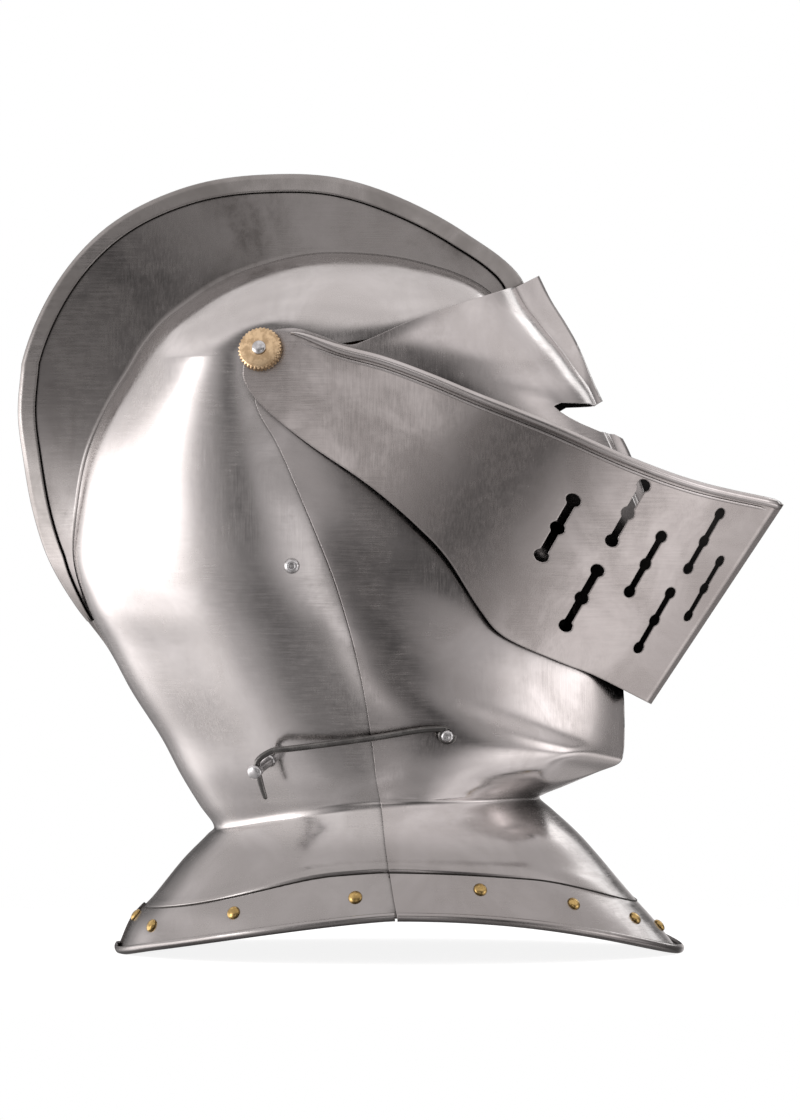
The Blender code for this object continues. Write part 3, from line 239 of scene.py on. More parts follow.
COLLAR_SHADE_FADE = (0.066, 0.050)       # metres up where the collar's painted shade starts


# ---------------------------------------------------------------- surfaces
def blend(table, u):
    """Catmull-Rom through the table's rows, at row number u."""
    last = len(table) - 1
    i = min(int(max(u, 0.0)), last - 1)
    t = min(max(u - i, 0.0), 1.0)
    b, c = table[i], table[i + 1]
    a = table[i - 1] if i else [2 * p - q for p, q in zip(b, c)]
    d = table[i + 2] if i + 2 <= last else [2 * q - p for p, q in zip(b, c)]
    return [
        0.5 * (2 * q + (r - p) * t + (2 * p - 5 * q + 4 * r - s) * t * t + (3 * q - p - 3 * r + s) * t ** 3)
        for p, q, r, s in zip(a, b, c, d)
    ]


def clamp(value, low, high):
    return min(max(value, low), high)


def section(distance, flat, length, width, floor, exponent):
    """Half width at a distance from the widest point: level, then a superellipse down to floor."""
    t = clamp((distance - flat) / (length - flat), 0.0, 1.0)
    return floor + (width - floor) * (1.0 - t ** exponent) ** (1.0 / exponent)


def fan_position(angle, radius):
    a = math.radians(angle)
    return PIVOT_Y - radius * math.cos(a), PIVOT_Z + radius * math.sin(a)


def to_polar(y, z):
    """Distance from the pivot axis, and angle above the front in degrees."""
    return math.hypot(PIVOT_Y - y, z - PIVOT_Z), math.degrees(math.atan2(z - PIVOT_Z, PIVOT_Y - y))


def vertex_normals(points, faces):
    normals = [Vector() for _ in points]
    for face in faces:
        corners = [Vector(points[i]) for i in face]
        normal = Vector()
        for a, b in zip(corners, corners[1:] + corners[:1]):
            normal += a.cross(b)
        for i in face:
            normals[i] += normal
    return [n.normalized() for n in normals]


class Sheet:
    """An open surface collected face by face, then thickened inwards into a closed plate."""

    def __init__(self):
        self.points = []
        self.index = {}
        self.faces = []

    def vertex(self, point):
        key = tuple(round(c, 4) for c in point)
        if key not in self.index:
            self.index[key] = len(self.points)
            self.points.append(tuple(point))
        return self.index[key]

    def face(self, *corners):
        loop = list(dict.fromkeys(self.vertex(corner) for corner in corners))
        if len(loop) > 2:
            self.faces.append(loop)

    def grid(self, rows):
        for upper, lower in zip(rows, rows[1:]):
            for a, b, c, d in zip(upper, lower, lower[1:], upper[1:]):
                self.face(a, b, c, d)

    def solid(self, thickness, level_seam=False):
        """Closed points and faces.  With level_seam, offsets near X = 0 stay in their own X plane."""
        normals = vertex_normals(self.points, self.faces)
        count = len(self.points)
        inner = []
        for point, normal in zip(self.points, normals):
            if level_seam and abs(point[0]) < 0.2:
                normal = Vector((0.0, normal.y, normal.z)).normalized()
            moved = Vector(point) - normal * thickness
            if level_seam:
                moved.x = math.copysign(max(abs(moved.x), HALF_SEAM), point[0])
            inner.append(tuple(moved))
        faces = [list(f) for f in self.faces]
        faces += [[i + count for i in reversed(f)] for f in self.faces]
        edges = dict.fromkeys(edge for f in self.faces for edge in zip(f, f[1:] + f[:1]))
        for a, b in edges:
            if (b, a) not in edges:
                faces.append([b, a, a + count, b + count])
        return self.points + inner, faces


def turned_profile(profile, sides):
    """Closed points and faces of a profile of (radius, height) turned round Z, bottom to top."""
    points, faces, rings = [], [], []
    for radius, height in profile:
        count = sides if radius > 1e-6 else 1
        rings.append([len(points) + k % count for k in range(sides)])
        points += circle(radius, height, count)
    for low, high in zip(rings, rings[1:]):
        for k in range(sides):
            m = (k + 1) % sides
            loop = list(dict.fromkeys((low[k], low[m], high[m], high[k])))
            if len(loop) > 2:
                faces.append(loop)
    if profile[0][0] > 1e-6:
        faces.append(rings[0][::-1])
    if profile[-1][0] > 1e-6:
        faces.append(rings[-1])
    return points, faces


def circle(radius, height, count):
    made = []
    for k in range(count):
        a = 2 * math.pi * k / count
        made.append((radius * math.cos(a), radius * math.sin(a), height))
    return made


def placed(points, centre, direction):
    turn = Vector(direction).to_track_quat("Z", "Y").to_matrix()
    return [tuple(turn @ Vector(p) + Vector(centre)) for p in points]


def surface_hit(tree, origin, direction):
    """Point and outward normal where a ray first meets a surface."""
    hit, normal, _, _ = tree.ray_cast(Vector(origin), Vector(direction))
    if normal.dot(Vector(direction)) > 0:
        normal = -normal
    return hit, normal


def tree_of(sheet):
    return BVHTree.FromPolygons([Vector(p) for p in sheet.points], sheet.faces)


def ear_flat(u):
    """Radius of the level patch round the widest point, fading out down the body."""
    return EAR_FLAT * clamp(1.0 - u / 5.0, 0.0, 1.0)


def mirrored(point, side):
    return (point[0] if side < 0 else -point[0], point[1], point[2])


def roll_rows(rows):
    """Rows that roll the lowest edge of a right-hand grid outwards and up."""
    inside = ROLL_RADIUS - SHEET
    normals = grid_normals(rows)
    made = []
    for k in range(1, ROLL_STEPS + 1):
        a = math.radians(ROLL_TURN) * k / ROLL_STEPS
        row = []
        for edge, before, normal in zip(rows[-1], rows[-2], normals):
            edge = Vector(edge)
            tangent = (edge - Vector(before)).normalized()
            normal = (normal - tangent * normal.dot(tangent)).normalized()
            centre = edge + normal * inside
            row.append(tuple(centre - normal * inside * math.cos(a) + tangent * inside * math.sin(a)))
        made.append(row)
    return made


def grid_normals(rows):
    """Outward normals along the last row of a grid on the right side."""
    found = []
    last, before = rows[-1], rows[-2]
    for j in range(len(last)):
        along = Vector(last[min(j + 1, len(last) - 1)]) - Vector(last[max(j - 1, 0)])
        down = Vector(last[j]) - Vector(before[j])
        out = down.cross(along).normalized()
        found.append(-out if out.dot(Vector((last[j][0], last[j][1], 0.0))) < 0 else out)
    return found


def mirror_rows(rows):
    """Right-hand rows that end on X = 0, carried on to the left side."""
    return [row + [(-x, y, z) for x, y, z in reversed(row[:-1])] for row in rows]


def front_share(k):
    """Columns of the bevor, closer together at the seam and at the chin."""
    return math.sin(k ** 1.35 * math.pi / 2)


def bevor_sheet():
    """Outer surface of the bevor, from the right seam round the chin to the left seam."""
    rows = []
    for seam, front in BEVOR_TOP:
        rows.append([ear_row_point(seam, front, k / FRONT_COLUMNS) for k in range(FRONT_COLUMNS + 1)])
    for u in body_stations():
        if u >= BEVOR_START:
            front, seam = blend(BODY, u)[3], blend(BODY, u)[13]
            shares = [front_share(k / FRONT_COLUMNS) for k in range(FRONT_COLUMNS + 1)]
            rows.append([front_point(u, seam + (front - seam) * s, LAP_CLEARANCE) for s in shares])
            rows[-1][-1] = (0.0, *rows[-1][-1][1:])
    rows += roll_rows(rows)
    for row in rows:
        row[-1] = (0.0, *row[-1][1:])
    sheet = Sheet()
    sheet.grid(mirror_rows(rows))
    return sheet


def ear_row_point(seam, front, k):
    """A point of the bevor's upper rows, which run from the ear's outline to the front."""
    y, z = (p + (q - p) * front_share(k) for p, q in zip(seam, front))
    span = math.hypot(PIVOT_Y - front[0], PIVOT_Z - front[1])
    distance = 0.0 if y > PIVOT_Y else to_polar(y, z)[0]
    x = section(distance, EAR_FLAT, span, BEVOR_HALF_WIDTH, 0.0, BODY[0][5])
    return (-x if k < 1.0 else 0.0), y, z


def ventail_keel_radius(angle):
    """Distance of the ventail's straight keel from the pivot axis at an angle above the front."""
    (y0, z0), (y1, z1) = VENTAIL_TOP[-1], VENTAIL_BOTTOM[-1]
    a = math.radians(angle)
    dy, dz = -math.cos(a), math.sin(a)
    ky, kz = y1 - y0, z1 - z0
    py, pz = y0 - PIVOT_Y, z0 - PIVOT_Z
    return (py * kz - pz * ky) / (dy * kz - dz * ky)


def ventail_half_width(y, z):
    radius, angle = to_polar(y, z)
    if y > PIVOT_Y - EAR_FLAT:
        return VENTAIL_HALF_WIDTH
    t = clamp((radius - EAR_FLAT) / (ventail_keel_radius(angle) - EAR_FLAT), 0.0, 1.0)
    return VENTAIL_HALF_WIDTH * (1.0 - t ** VENTAIL_FULLNESS)


def dumbbell(y, z, share):
    """Outline of one breath slot: a narrow slot with a round lobe at its middle and both ends."""
    half = []
    reach = SLOT_HALF_LENGTH + SLOT_LOBE
    for k in range(SLOT_STEPS + 1):
        s = -reach * math.cos(math.pi * k / SLOT_STEPS)
        width = SLOT_HALF_WIDTH if abs(s) < SLOT_HALF_LENGTH else 0.0
        for lobe in (-SLOT_HALF_LENGTH, 0.0, SLOT_HALF_LENGTH):
            if abs(s - lobe) < SLOT_LOBE:
                width = max(width, math.sqrt(SLOT_LOBE ** 2 - (s - lobe) ** 2))
        half.append((s, width * share))
    outline = half + [(s, -w) for s, w in reversed(half[1:-1])]
    dy, dz = SLOT_LEAN
    return [(y + s * dy - w * dz, z + s * dz + w * dy) for s, w in outline]


def fan_point_pair(v):
    angle, crease, crest = blend(FAN, v)
    return (*fan_position(angle, crease), COMB_BASE), (*fan_position(angle, crest), COMB_EDGE)


def body_point_pair(u):
    row = blend(BODY, u)
    return tuple(row[7:10]), tuple(row[10:13])


def side_hit(tree, y, z, side):
    return surface_hit(tree, (side * 300.0, y, z), (-side, 0.0, 0.0))


def stud_direction(side):
    """The pivot stud leans up and back from the X axis."""
    tilt = math.radians(STUD_TILT)
    back, up = (math.sin(tilt) * share for share in STUD_LEAN)
    return Vector((side * math.cos(tilt), back, up)).normalized()


def smooth_path(stops, per_span):
    count = (len(stops) - 1) * per_span
    return [tuple(blend(stops, (len(stops) - 1) * i / count)) for i in range(count + 1)]


def lookup(table, key, level_ends=True):
    """Smooth curve through a table of (key, value) with falling keys, level at both ends or not."""
    last = len(table) - 1
    key = clamp(key, table[-1][0], table[0][0])
    i = next(i for i in range(last) if key >= table[i + 1][0])

    def slope(k):
        if k in (0, last) and level_ends:
            return 0.0
        (k0, v0), (k1, v1) = table[max(k - 1, 0)], table[min(k + 1, last)]
        return (v1 - v0) / (k1 - k0)

    (k0, v0), (k1, v1) = table[i], table[i + 1]
    run = k1 - k0
    t = (key - k0) / run
    rise = t * t * (3.0 - 2.0 * t)
    return v0 + (v1 - v0) * rise + run * (slope(i) * t * (1.0 - t) ** 2 - slope(i + 1) * t * t * (1.0 - t))


def keel_radius(angle):
    """Distance of the visor's keel from the pivot axis at an angle above the front."""
    polar = [to_polar(y, z) for y, z in VISOR_KEEL]
    return lookup([(a, r) for r, a in polar], angle, False)


def soft_min(a, b, size):
    """The smaller of two lengths, rounded where they meet."""
    near = max(size - abs(a - b), 0.0) / size
    return min(a, b) - near * near * size / 4.0


def front_point(u, y, offset=0.0):
    """Bevor surface of the right side at station u, where it passes y; offset shifts it outwards."""
    oy, oz, width, fy, fz, exponent, drop = blend(BODY, u)[:7]
    s = clamp((oy - y) / (oy - fy), 0.0, 1.0)
    z = oz + (fz - oz) * s ** drop
    span = math.hypot(oy - fy, oz - fz)
    distance = math.hypot(oy - y, oz - z)
    x = section(distance, ear_flat(u), span, width + offset, 0.0, exponent)
    fade = clamp((u - FACET_END + 0.6) / FACET_FADE, 0.0, 1.0)
    facet = FACET_SLOPE * (y - fy) + width * fade * fade
    x = max(soft_min(x, max(facet, 0.0), FACET_SOFT), 0.0)
    return -(x - step_depth(u, y) * clamp(x / STEP_FADE, 0.0, 1.0)), y, z


def body_stations():
    """Station numbers down the body, much closer round the border's step."""
    plain = [EDGE_STATION * i / BODY_ROWS for i in range(BODY_ROWS + 1)]
    low, high = BORDER_STATION - 0.36, BORDER_STATION + BORDER_FALL + 0.24
    count = round((high - low) / 0.04)
    near = [low + (high - low) * k / count for k in range(count + 1)]
    return sorted([u for u in plain if u < low - 0.06 or u > high + 0.06] + near)


def border_start(y):
    """Station where the collar's border starts."""
    share = clamp((abs(y + 20.0) - 45.0) / 75.0, 0.0, 1.0)
    return BORDER_STATION + BORDER_FALL * share * share * (3.0 - 2.0 * share)


def step_depth(u, y):
    """Depth of the recessed border under the collar's surface at station u, with a ridge just above it."""
    below = u - border_start(y)
    ridge = BORDER_RIDGE * math.exp(-((below + 0.16) / 0.14) ** 2)
    return (BORDER_STEP + BORDER_EXTRA) * clamp(below / 0.12, 0.0, 1.0) - ridge


def comb_station(t, width, height, bowl, rise):
    """A point of the skull with a fillet between the bowl, which ends at t = 1, and the comb."""
    size = min(COMB_FILLET, height * 0.5)
    low = 1.0 - 0.9 * math.sqrt(size / width) * 0.35
    high = 1.0 + size / height
    if t <= 1.0 and (height < 2.0 or t <= low):
        return bowl(t)
    if height < 2.0 or t >= high:
        return rise(t)
    s = (t - low) / (1.0 - low) * 0.5 if t <= 1.0 else 0.5 + (t - 1.0) / (high - 1.0) * 0.5
    corners = zip(bowl(low), bowl(1.0), rise(high))
    return tuple((1 - s) ** 2 * p + 2 * s * (1 - s) * q + s * s * r for p, q, r in corners)


def rear_point(u, t):
    """Skull surface of the right side behind the spine; t runs 0 to 1 over the bowl, 1 to 2 over the comb."""
    oy, oz, width, _, _, _, _, cy, cz, c, ey, ez, e = blend(BODY, u)[:13]
    length = math.hypot(cy - oy, cz - oz)
    height = math.hypot(ey - cy, ez - cz)
    fade = clamp(u / 2 - 7.0, 0.0, 1.0)

    def bowl(t):
        s = math.sin(t * math.pi / 2)
        x = section(s * length, ear_flat(u), length, width, c, BOWL_FULLNESS)
        y, z = oy + (cy - oy) * s, oz + (cz - oz) * s ** 1.3 + lookup(REAR_LIFT, x) * fade
        return -(x - step_depth(u, y)), y, z

    def rise(t):
        s = (t - 1.0) * (1.0 - CREST_SHORT / height if height > 8.0 else 1.0 - 0.025 * height)
        return -(c + (e - c) * s), cy + (ey - cy) * s, cz + (ez - cz) * s + lookup(REAR_LIFT, 0.0) * fade

    return comb_station(t, width, height, bowl, rise)


def fan_point(v, t):
    """Skull surface of the right side above the pivot, at fan station v."""
    _, crease, crest = blend(FAN, v)
    (cy, cz, c), (ey, ez, e) = fan_point_pair(v)

    def bowl(t):
        s = math.sin(t * math.pi / 2)
        x = section(s * crease, EAR_FLAT, crease, SKULL_HALF_WIDTH, c, BOWL_FULLNESS)
        return -x, PIVOT_Y + (cy - PIVOT_Y) * s, PIVOT_Z + (cz - PIVOT_Z) * s

    def rise(t):
        s = (t - 1.0) * (1.0 - CREST_SHORT / (crest - crease))
        return -(c + (e - c) * s), cy + (ey - cy) * s, cz + (ez - cz) * s

    return comb_station(t, SKULL_HALF_WIDTH, math.hypot(ey - cy, ez - cz), bowl, rise)


def skull_sheet(side):
    """Outer surface of one half of the skull; side is -1 for the right and 1 for the left."""
    sheet = Sheet()
    near = [0.84, 0.87, 0.895, 0.915, 0.935, 0.95, 0.96, 0.97, 0.98, 0.99]
    bowl = sorted([i / REAR_COLUMNS for i in range(REAR_COLUMNS + 1)] + near)
    comb = sorted([1.0 + i / COMB_COLUMNS for i in range(1, COMB_COLUMNS + 1)] + [1.02, 1.04, 1.09, 1.11])
    columns = bowl + comb
    last = len(FAN) - 1
    fan = [[fan_point(last * i / FAN_ROWS, t) for t in columns] for i in range(FAN_ROWS + 1)]
    rows = []
    for u in body_stations():
        spine, seam = blend(BODY, u)[0], blend(BODY, u)[13]
        edge = min(seam, spine) - LAP
        lap = [front_point(u, edge + (spine - edge) * k / LAP_COLUMNS) for k in range(LAP_COLUMNS)]
        rows.append(lap + [rear_point(u, t) for t in columns])
    for k in range(LAP_COLUMNS):
        share = 1.0 - k / LAP_COLUMNS
        rows[0][k] = tuple(a + (b - a) * share for a, b in zip(rows[0][LAP_COLUMNS], fan[0][LAP_TOP_COLUMN]))
    behind = [row[LAP_COLUMNS:] for row in rows]
    rolled = behind[-1:] + roll_rows(behind)
    for grid in (fan, rows, rolled):
        grid = [[mirrored(p, side) for p in row] for row in grid]
        if side < 0:
            grid = [list(reversed(row)) for row in grid]
        sheet.grid(grid)
    return sheet


def plate_rows(top, bottom, width, columns):
    """Right-hand rows of a face plate between its two edges; columns gives the shares along a row."""
    last = len(top) - 1
    rows = []
    for i in range(PLATE_ROWS + 1):
        b = i / PLATE_ROWS
        row = []
        for a in columns(b):
            upper, lower = blend(top, a * last), blend(bottom, a * last)
            y, z = (p + (q - p) * b for p, q in zip(upper, lower))
            row.append((-width(y, z), y, z))
        rows.append(row)
    return rows


def visor_width(y, z):
    """Half width of the visor at a point of the side view: its side, then the keel beyond the crease."""
    radius, angle = to_polar(y, z)
    keel = keel_radius(angle)
    crease = keel - lookup(KEEL_DEPTH, angle)
    if y > PIVOT_Y:
        radius = 0.0
    if radius <= crease:
        fullness = lookup(VISOR_FULLNESS, angle)
        return section(radius, EAR_FLAT, crease, VISOR_HALF_WIDTH, KEEL_HALF_BAND, fullness)
    return keel_width((radius - crease) / (keel - crease))


def keel_width(share):
    """Half width of the visor's keel at a share of the way from its crease to its edge."""
    return KEEL_HALF_BAND * (1.0 - share) ** 0.8


def visor_columns(b):
    """Shares along a row of the visor, with one column on the crease beside the keel."""
    last = len(VISOR_TOP) - 1

    def before_crease(a):
        y, z = (p + (q - p) * b for p, q in zip(blend(VISOR_TOP, a * last), blend(VISOR_BOTTOM, a * last)))
        radius, angle = to_polar(y, z)
        return y > PIVOT_Y or radius < keel_radius(angle) - lookup(KEEL_DEPTH, angle)

    low, high = 0.3, 1.0
    for _ in range(30):
        middle = (low + high) / 2
        low, high = (middle, high) if before_crease(middle) else (low, middle)
    rise = [low * math.sin(k / CREASE_COLUMNS * math.pi / 2) for k in range(CREASE_COLUMNS + 1)]
    return rise + [low + (1.0 - low) * k / KEEL_COLUMNS for k in range(1, KEEL_COLUMNS + 1)]


def visor_sheet():
    rows = plate_rows(VISOR_TOP, VISOR_BOTTOM, visor_width, visor_columns)
    last = len(VISOR_KEEL) - 1
    for i, row in enumerate(rows):
        ky, kz = blend(VISOR_KEEL, i / PLATE_ROWS * last)
        shift_y, shift_z = ky - row[-1][1], kz - row[-1][2]
        for k in range(1, KEEL_COLUMNS + 1):
            column = k - KEEL_COLUMNS - 1
            share = k / KEEL_COLUMNS
            _, y, z = row[column]
            row[column] = (-keel_width(share), y + shift_y * share ** 2, z + shift_z * share ** 2)
        row[-1] = (0.0, ky, kz)
    for _ in range(SMOOTH_PASSES):
        rows = smooth_widths(rows)
    sheet = Sheet()
    sheet.grid(mirror_rows(rows))
    return sheet


def smooth_widths(rows):
    """Evens out the half widths between neighbouring points of a grid, except at the ear and on the keel."""
    last = len(rows) - 1
    made = []
    for i, row in enumerate(rows):
        above, below = rows[max(i - 1, 0)], rows[min(i + 1, last)]
        line = [row[0]]
        for k in range(1, len(row) - 1):
            x = (row[k - 1][0] + row[k + 1][0] + above[k][0] + below[k][0] + 4.0 * row[k][0]) / 8.0
            line.append((x, row[k][1], row[k][2]))
        made.append(line + [row[-1]])
    return made


def ventail_sheet():
    """The ventail's surface, and the centres of its rolled rim and of the thin band below the rim."""
    shares = [k / PLATE_COLUMNS for k in range(PLATE_COLUMNS + 1)]
    rows = plate_rows(VENTAIL_TOP, VENTAIL_BOTTOM, ventail_half_width, lambda b: shares)
    for row in rows:
        row[-1] = (0.0, row[-1][1], row[-1][2])
    rows = mirror_rows(rows)
    sheet = Sheet()
    sheet.grid(rows)
    normals = vertex_normals(sheet.points, sheet.faces)
    paths = []
    # how far each path lies below the upper edge, and outside the surface
    for drop, stand in ((0.0, RIM_RADIUS - SHEET), (4.1, -0.45)):
        path = []
        for k in range(RIM_START, len(rows[0]) - RIM_START):
            down = Vector(rows[4][k]) - Vector(rows[0][k])
            point = Vector(rows[0][k]) + down.normalized() * drop
            point += normals[sheet.vertex(rows[0][k])] * stand
            inset = 1.0 - min(abs(point.x) / RIM_KEEL_RUN, 1.0)
            point.y += RIM_KEEL_INSET * inset * inset
            path.append(point)
        paths.append(path)
    return sheet, paths


# ---------------------------------------------------------------- meshes
def turned_cutter(centre, direction, radius, half_length, sides=48):
    points, faces = turned_profile([(radius, -half_length), (radius, half_length)], sides)
    return placed(points, centre, direction), faces


def prism_cutter(outline, low=-CUT_REACH, high=CUT_REACH):
    """A prism along X whose section is an outline in the side view."""
    count = len(outline)
    points = [(low, y, z) for y, z in outline] + [(high, y, z) for y, z in outline]
    faces = [list(range(count)), list(range(2 * count - 1, count - 1, -1))]
    faces += [[i, (i + 1) % count, (i + 1) % count + count, i + count] for i in range(count)]
    return points, faces


def make_mesh(name, points, faces):
    mesh = bpy.data.meshes.new(name)
    mesh.from_pydata([[c * MM for c in p] for p in points], [], faces)
    body = bmesh.new()
    body.from_mesh(mesh)
    bmesh.ops.recalc_face_normals(body, faces=body.faces)
    body.to_mesh(mesh)
    body.free()
    return mesh


def smooth(mesh, angle):
    mesh.shade_smooth()
    mesh.set_sharp_from_angle(angle=math.radians(angle))
    return mesh


def merged(solids):
    """Several closed solids in one list of points and one of faces."""
    points, faces = [], []
    for more_points, more_faces in solids:
        faces += [[i + len(points) for i in f] for f in more_faces]
        points += more_points
    return points, faces


def add_piece(name, mesh, look, body, slot, *nodes):
    """Puts a mesh in the scene as a piece that rides on a body and stands for CAD nodes."""
    piece = bpy.data.objects.new(name, mesh)
    bpy.context.scene.collection.objects.link(piece)
    mesh.materials.clear()
    mesh.materials.append(look)
    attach(piece, body)
    if nodes:
        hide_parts(*nodes)
    return piece


def solid_piece(name, solid, angle, look, body, slot, *nodes):
    """A piece made of closed points and faces, with edges sharper than angle left sharp."""
    return add_piece(name, smooth_mesh(name, *solid, angle), look, body, slot, *nodes)


def turned_piece(name, profile, centre, direction, look, body, slot, node):
    points, faces = turned_profile(profile, TURN_SIDES)
    solid_piece(name, (placed(points, centre, direction), faces), 50.0, look, body, slot, node)


def smooth_mesh(name, points, faces, angle):
    return smooth(make_mesh(name, points, faces), angle)


def cut_mesh(mesh, cutters):
    """The mesh less its cutters, each given as points and faces."""
    target = bpy.data.objects.new("cut_target", mesh)
    tool = bpy.data.objects.new("cut_tool", make_mesh("cut_tool", *merged(cutters)))
    for obj in (target, tool):
        bpy.context.scene.collection.objects.link(obj)
    modifier = target.modifiers.new("cut", "BOOLEAN")
    modifier.operation = "DIFFERENCE"
    modifier.solver = "MANIFOLD"
    modifier.object = tool
    bpy.context.view_layer.update()
    graph = bpy.context.evaluated_depsgraph_get()
    made = bpy.data.meshes.new_from_object(target.evaluated_get(graph))
    bpy.data.objects.remove(target)
    bpy.data.objects.remove(tool)
    return made


def shade_plate(mesh, sheet):
    """Gives both faces of a plate the smooth surface's own normals, and leaves its cut walls flat."""
    normals = vertex_normals(sheet.points, sheet.faces)
    corners = [Vector(p) for p in sheet.points]
    tree = tree_of(sheet)
    found = {}

    def surface(point):
        place, _, face, distance = tree.find_nearest(point)
        loop = sheet.faces[face]
        weights = poly_3d_calc([corners[i] for i in loop], place)
        normal = Vector()
        for i, weight in zip(loop, weights):
            normal += normals[i] * weight
        return normal.normalized(), distance

    loops = [Vector()] * len(mesh.loops)
    for polygon in mesh.polygons:
        normal, distance = surface(polygon.center / MM)
        facing = polygon.normal.dot(normal)
        if facing > 0.7 and distance < 0.4:
            sign = 1.0
        elif facing < -0.7 and abs(distance - SHEET) < 0.6:
            sign = -1.0
            outwards = Vector((polygon.center.x, polygon.center.y, 0.0)).normalized()
            # painted shade: these inner faces get the near-black inside
            if polygon.center.z > COLLAR_TOP or polygon.normal.dot(outwards) < -0.3:
                polygon.material_index = 1
        else:
            for i in polygon.loop_indices:
                loops[i] = polygon.normal.copy()
            continue
        for i in polygon.loop_indices:
            key = mesh.loops[i].vertex_index
            if key not in found:
                found[key] = surface(mesh.vertices[key].co / MM)[0]
            loops[i] = found[key] * sign
    mesh.shade_smooth()
    mesh.normals_split_custom_set(loops)


def add_plate(name, sheet, look, body, node, cutters, level_seam=False):
    points, faces = sheet.solid(SHEET, level_seam)
    mesh = cut_mesh(make_mesh(name, points, faces), cutters)
    add_piece(name, mesh, look, body, "polished_steel", node)
    mesh.materials.append(INNER_BLACK_SHADE)
    shade_plate(mesh, sheet)


def tube(path, radii, sides=20, rounded=True):
    """Closed points and faces of a round bar along a path, with a radius at each point and domed ends."""
    path = [Vector(p) for p in path]
    runs = [(b - a).normalized() for a, b in zip(path, path[1:])]
    tangents = [runs[0]] + [(a + b).normalized() for a, b in zip(runs, runs[1:])] + [runs[-1]]
    side = tangents[0].orthogonal().normalized()
    stations = list(zip(path, tangents, radii))
    if rounded:
        first, last = stations[0], stations[-1]
        for k in (1, 2, 3):
            a = math.radians(90.0 * k / 3.2)
            for (centre, tangent, radius), sign in ((first, -1), (last, 1)):
                domed = (centre + tangent * radius * math.sin(a) * sign, tangent, radius * math.cos(a))
                stations.insert(0 if sign < 0 else len(stations), domed)
    points, faces = [], []
    for centre, tangent, radius in stations:
        side = (side - tangent * side.dot(tangent)).normalized()
        over = tangent.cross(side)
        for k in range(sides):
            a = 2 * math.pi * k / sides
            points.append(tuple(centre + (side * math.cos(a) + over * math.sin(a)) * radius))
    for low in range(0, len(points) - sides, sides):
        for k in range(sides):
            m = (k + 1) % sides
            faces.append([low + m, low + k, low + sides + k, low + sides + m])
    faces.append(list(range(sides)))
    faces.append(list(range(len(points) - 1, len(points) - sides - 1, -1)))
    return points, faces


def loft(rings, closed=True):
    """Points and faces of equal closed rings; closed joins the last ring to the first."""
    points, faces = [], []
    sides = len(rings[0])
    for ring in rings:
        points += [tuple(p) for p in ring]
    pairs = list(zip(range(len(rings)), range(1, len(rings))))
    if closed:
        pairs.append((len(rings) - 1, 0))
    for low, high in pairs:
        for k in range(sides):
            m = (k + 1) % sides
            faces.append([low * sides + k, low * sides + m, high * sides + m, high * sides + k])
    if not closed:
        faces.append(list(range(sides - 1, -1, -1)))
        faces.append([len(points) - sides + k for k in range(sides)])
    return points, faces


def dome_profile(radius, height, base, steps=8):
    """(radius, height) from the rim of a domed head to its top."""
    made = [(radius * 0.97, base)]
    for k in range(steps + 1):
        a = math.pi / 2 * k / steps
        made.append((radius * math.cos(a), base + 0.25 + height * math.sin(a)))
    made[-1] = (0.0, made[-1][1])
    return made


# ---------------------------------------------------------------- materials, in metres and scales per metre
class Nodes:
    """Adds nodes to a material's or world's tree and links them."""

    def __init__(self, tree):
        self.tree = tree
        self.tree.nodes.clear()

    def plug(self, socket, value):
        if isinstance(value, bpy.types.NodeSocket):
            self.tree.links.new(value, socket)
        else:
            socket.default_value = value

    def add(self, kind, inputs=(), **settings):
        node = self.tree.nodes.new("ShaderNode" + kind)
        for key, value in settings.items():
            setattr(node, key, value)
        for key, value in dict(inputs).items():
            self.plug(node.inputs[key], value)
        return node

    def place(self):
        return self.add("TexCoord").outputs["Object"]

    def axes(self, vector):
        return self.add("SeparateXYZ", {"Vector": vector}).outputs

    def noise(self, vector, scale, detail=3.0, rough=0.5, distortion=0.0):
        inputs = {"Vector": vector, "Scale": scale, "Detail": detail, "Roughness": rough}
        return self.add("TexNoise", inputs | {"Distortion": distortion}).outputs["Fac"]

    def ramp(self, value, low, high, to_low=0.0, to_high=1.0):
        inputs = {"Value": value, "From Min": low, "From Max": high, "To Min": to_low, "To Max": to_high}
        return self.add("MapRange", inputs, interpolation_type="SMOOTHSTEP").outputs["Result"]

    def math(self, operation, *values):
        return self.add("Math", dict(enumerate(values)), operation=operation).outputs[0]

    def sum(self, *values):
        return functools.reduce(lambda a, b: self.math("ADD", a, b), values)

    def product(self, *values):
        return functools.reduce(lambda a, b: self.math("MULTIPLY", a, b), values)

    def mix(self, factor, a, b):
        node = self.add("Mix", {"Factor": factor}, data_type="RGBA")
        self.plug(node.inputs[6], a)
        self.plug(node.inputs[7], b)
        return node.outputs[2]

    def scaled(self, vector, scale, rotation=(0.0, 0.0, 0.0)):
        inputs = {"Vector": vector, "Scale": scale, "Rotation": rotation}
        return self.add("Mapping", inputs).outputs["Vector"]

    def hollow(self, distance, samples=4, **settings):
        """1 in the open, falling to 0 in corners narrower than distance."""
        inputs = {"Distance": distance}
        return self.add("AmbientOcclusion", inputs, samples=samples, **settings).outputs["AO"]

    def rounded(self, radius):
        return self.add("Bevel", {"Radius": radius}, samples=4).outputs["Normal"]

    def bump(self, height, distance, strength, normal=None):
        inputs = {"Height": height, "Distance": distance, "Strength": strength}
        if normal is not None:
            inputs["Normal"] = normal
        return self.add("Bump", inputs).outputs["Normal"]


def rgb(r, g, b):
    return (r, g, b, 1.0)


def new_material(name):
    made = bpy.data.materials.new(name)
    made.use_nodes = True
    return made, Nodes(made.node_tree)


